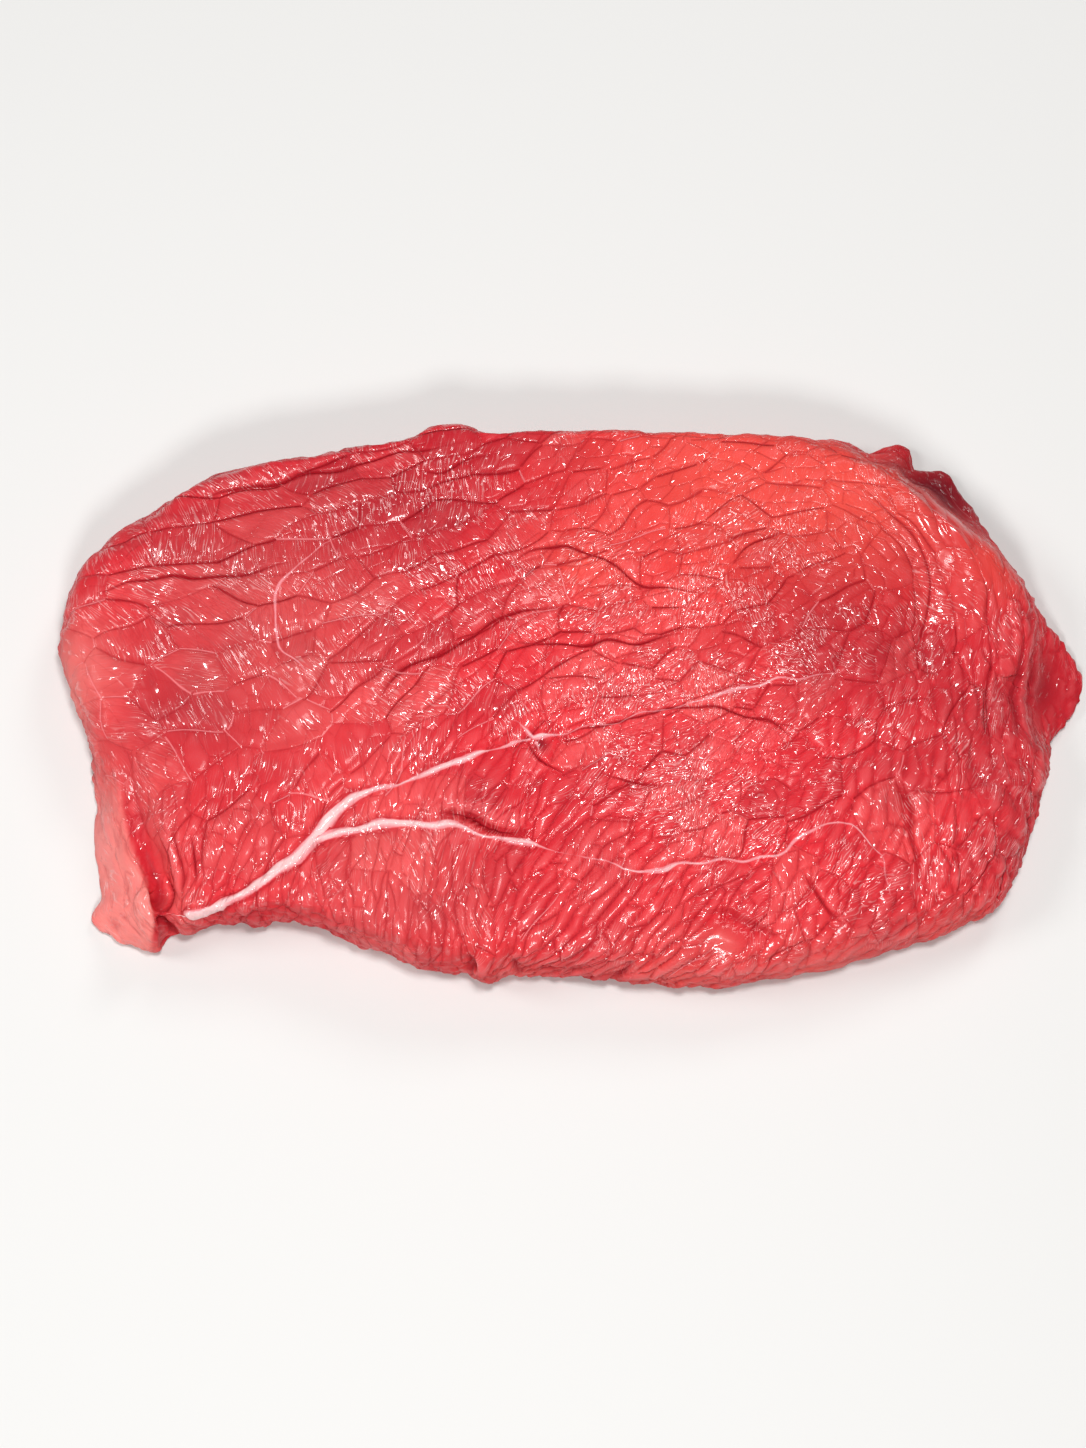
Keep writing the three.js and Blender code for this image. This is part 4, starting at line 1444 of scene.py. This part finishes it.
    def fibre_places(self, bundles: Bundles, own: np.ndarray, calm: np.ndarray) -> np.ndarray:
        """Works out where each corner lies along and across the fine fibres.

        Args:
            bundles: the bundles that the fibres run in.
            own: the bundle of each corner.
            calm: share of relief at each vertex.

        Returns:
            Millimetres along, shortened so that a fibre is as long as wide, and across, and their height.
        """
        corner = self.triangles.ravel()
        turn = (bundles.lie["fibre"] + (bundles.chance - 0.5) * self.fibre_turn)[own]
        along, across = turned(self.chart[corner] - bundles.middles[own], np.cos(turn), np.sin(turn))
        shift = bundles.chance[own] * self.fibre_shift
        least, more = self.fine_range
        strength = least + more * (bundles.chance * self.fine_mix % 1)
        fine = (bundles.grain.blend(self.chart)["fine"] * calm)[corner] * strength[own]
        return np.stack([along / bundles.lie["ratio"][own] + shift, across - shift, fine], 1)

    def move(self, height: np.ndarray) -> None:
        """Moves each vertex along its normal, and leaves the foot and the underside on the board.

        Args:
            height: millimetres for each vertex.
        """
        fade = rise(self.vertices[:, 2], self.foot_start, self.foot_height)
        fade[self.underside_start :] = 0
        self.vertices += self.normals() * (height * fade)[:, None]
        below = slice(self.underside_start, None)
        self.vertices[below, 2] = np.maximum(-height[below], 0) * self.press

    def to_object(self) -> bpy.types.Object:
        """Hands the mesh and its fields to Blender.

        Returns:
            The object, in the scene.
        """
        mesh = bpy.data.meshes.new(PIECE)
        mesh.from_pydata((self.vertices * MM).tolist(), [], self.triangles.tolist())
        mesh.update()
        mesh.shade_smooth()
        kinds = {1: ("FLOAT", "value"), 3: ("FLOAT_VECTOR", "vector"), 4: ("FLOAT_COLOR", "color")}
        for name, values in self.fields.items():
            kind, part = kinds[1 if values.ndim == 1 else values.shape[1]]
            domain = "POINT" if len(values) == len(self.vertices) else "CORNER"
            stored = mesh.attributes.new(name.value, kind, domain)
            stored.data.foreach_set(part, values.astype(np.float32).ravel())
        piece = bpy.data.objects.new(PIECE, mesh)
        bpy.context.scene.collection.objects.link(piece)
        return piece

    def dress(self, piece: bpy.types.Object) -> None:
        """Gives the slice its finish and its place in the frame.

        Args:
            piece: the slice's object.
        """
        piece.data.materials.append(RawBeef().build())
        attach(piece, BODY)
        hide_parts(NODE)


class Softbox(NamedTuple):
    """A soft studio lamp that looks at the slice, in millimetres and watts."""

    name: str
    place: Row
    size: float
    power: float


@dataclass(frozen=True)
class Studio:
    """Pale floor, soft lamps and the camera."""

    floor_size: float = 3000.0
    sky: float = 0.078
    softboxes: tuple[Softbox, ...] = (
        Softbox("top_lamp", (60, 0, 900), 170, 4.6),
        Softbox("left_lamp", (-600, 60, 560), 300, 2.2),
        Softbox("back_lamp", (330, 620, 600), 300, 1.9),
        Softbox("near_lamp", (0, -640, 640), 200, 3.7),
    )
    elevation: float = 75.0
    distance: float = 700.0
    lens: float = 85.2
    aim: Row = (-5.6, -4.6, 6.8)

    def build(self) -> None:
        """Sets up the floor, the light and the camera."""
        self.add_floor()
        self.add_light()
        self.add_camera()

    def add_floor(self) -> None:
        """Lays the floor that the slice rests on."""
        half = self.floor_size / 2 * MM
        mesh = bpy.data.meshes.new("floor")
        corners = [(-half, -half, 0), (half, -half, 0), (half, half, 0), (-half, half, 0)]
        mesh.from_pydata(corners, [], [(0, 1, 2, 3)])
        mesh.materials.append(PaleFloor().build())
        floor = bpy.data.objects.new("floor", mesh)
        bpy.context.scene.collection.objects.link(floor)

    def add_light(self) -> None:
        """Hangs the lamps under an even sky."""
        scene = bpy.context.scene
        scene.view_settings.view_transform = "Standard"
        world = bpy.data.worlds.new("studio")
        world.use_nodes = True
        world.node_tree.nodes["Background"].inputs["Strength"].default_value = self.sky
        world.node_tree.nodes["Background"].inputs["Color"].default_value = (1, 1, 1, 1)
        scene.world = world
        for box in self.softboxes:
            lamp = bpy.data.lights.new(box.name, "AREA")
            lamp.shape = "DISK"
            lamp.size = box.size * MM
            lamp.energy = box.power
            holder = bpy.data.objects.new(box.name, lamp)
            holder.location = Vector(box.place) * MM
            holder.rotation_euler = (-holder.location).to_track_quat("-Z", "Y").to_euler()
            scene.collection.objects.link(holder)

    def add_camera(self) -> None:
        """Looks down at the slice from its near side."""
        lens = bpy.data.cameras.new("camera")
        lens.lens = self.lens
        camera = bpy.data.objects.new("camera", lens)
        angle = math.radians(self.elevation)
        back = Vector((0, -math.cos(angle), math.sin(angle)))
        camera.location = (Vector(self.aim) + back * self.distance) * MM
        camera.rotation_euler = back.to_track_quat("Z", "Y").to_euler()
        bpy.context.scene.collection.objects.link(camera)
        bpy.context.scene.camera = camera


def main() -> None:
    """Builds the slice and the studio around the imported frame."""
    logging.basicConfig(level=logging.INFO, format="%(name)s: %(message)s")
    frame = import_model()
    Studio().build()
    steak = SteakSlice(frame["nodes"][NODE]).build()
    LOG.info("%s: %d triangles", steak.name, len(steak.data.polygons))


if __name__ == "__main__":
    main()
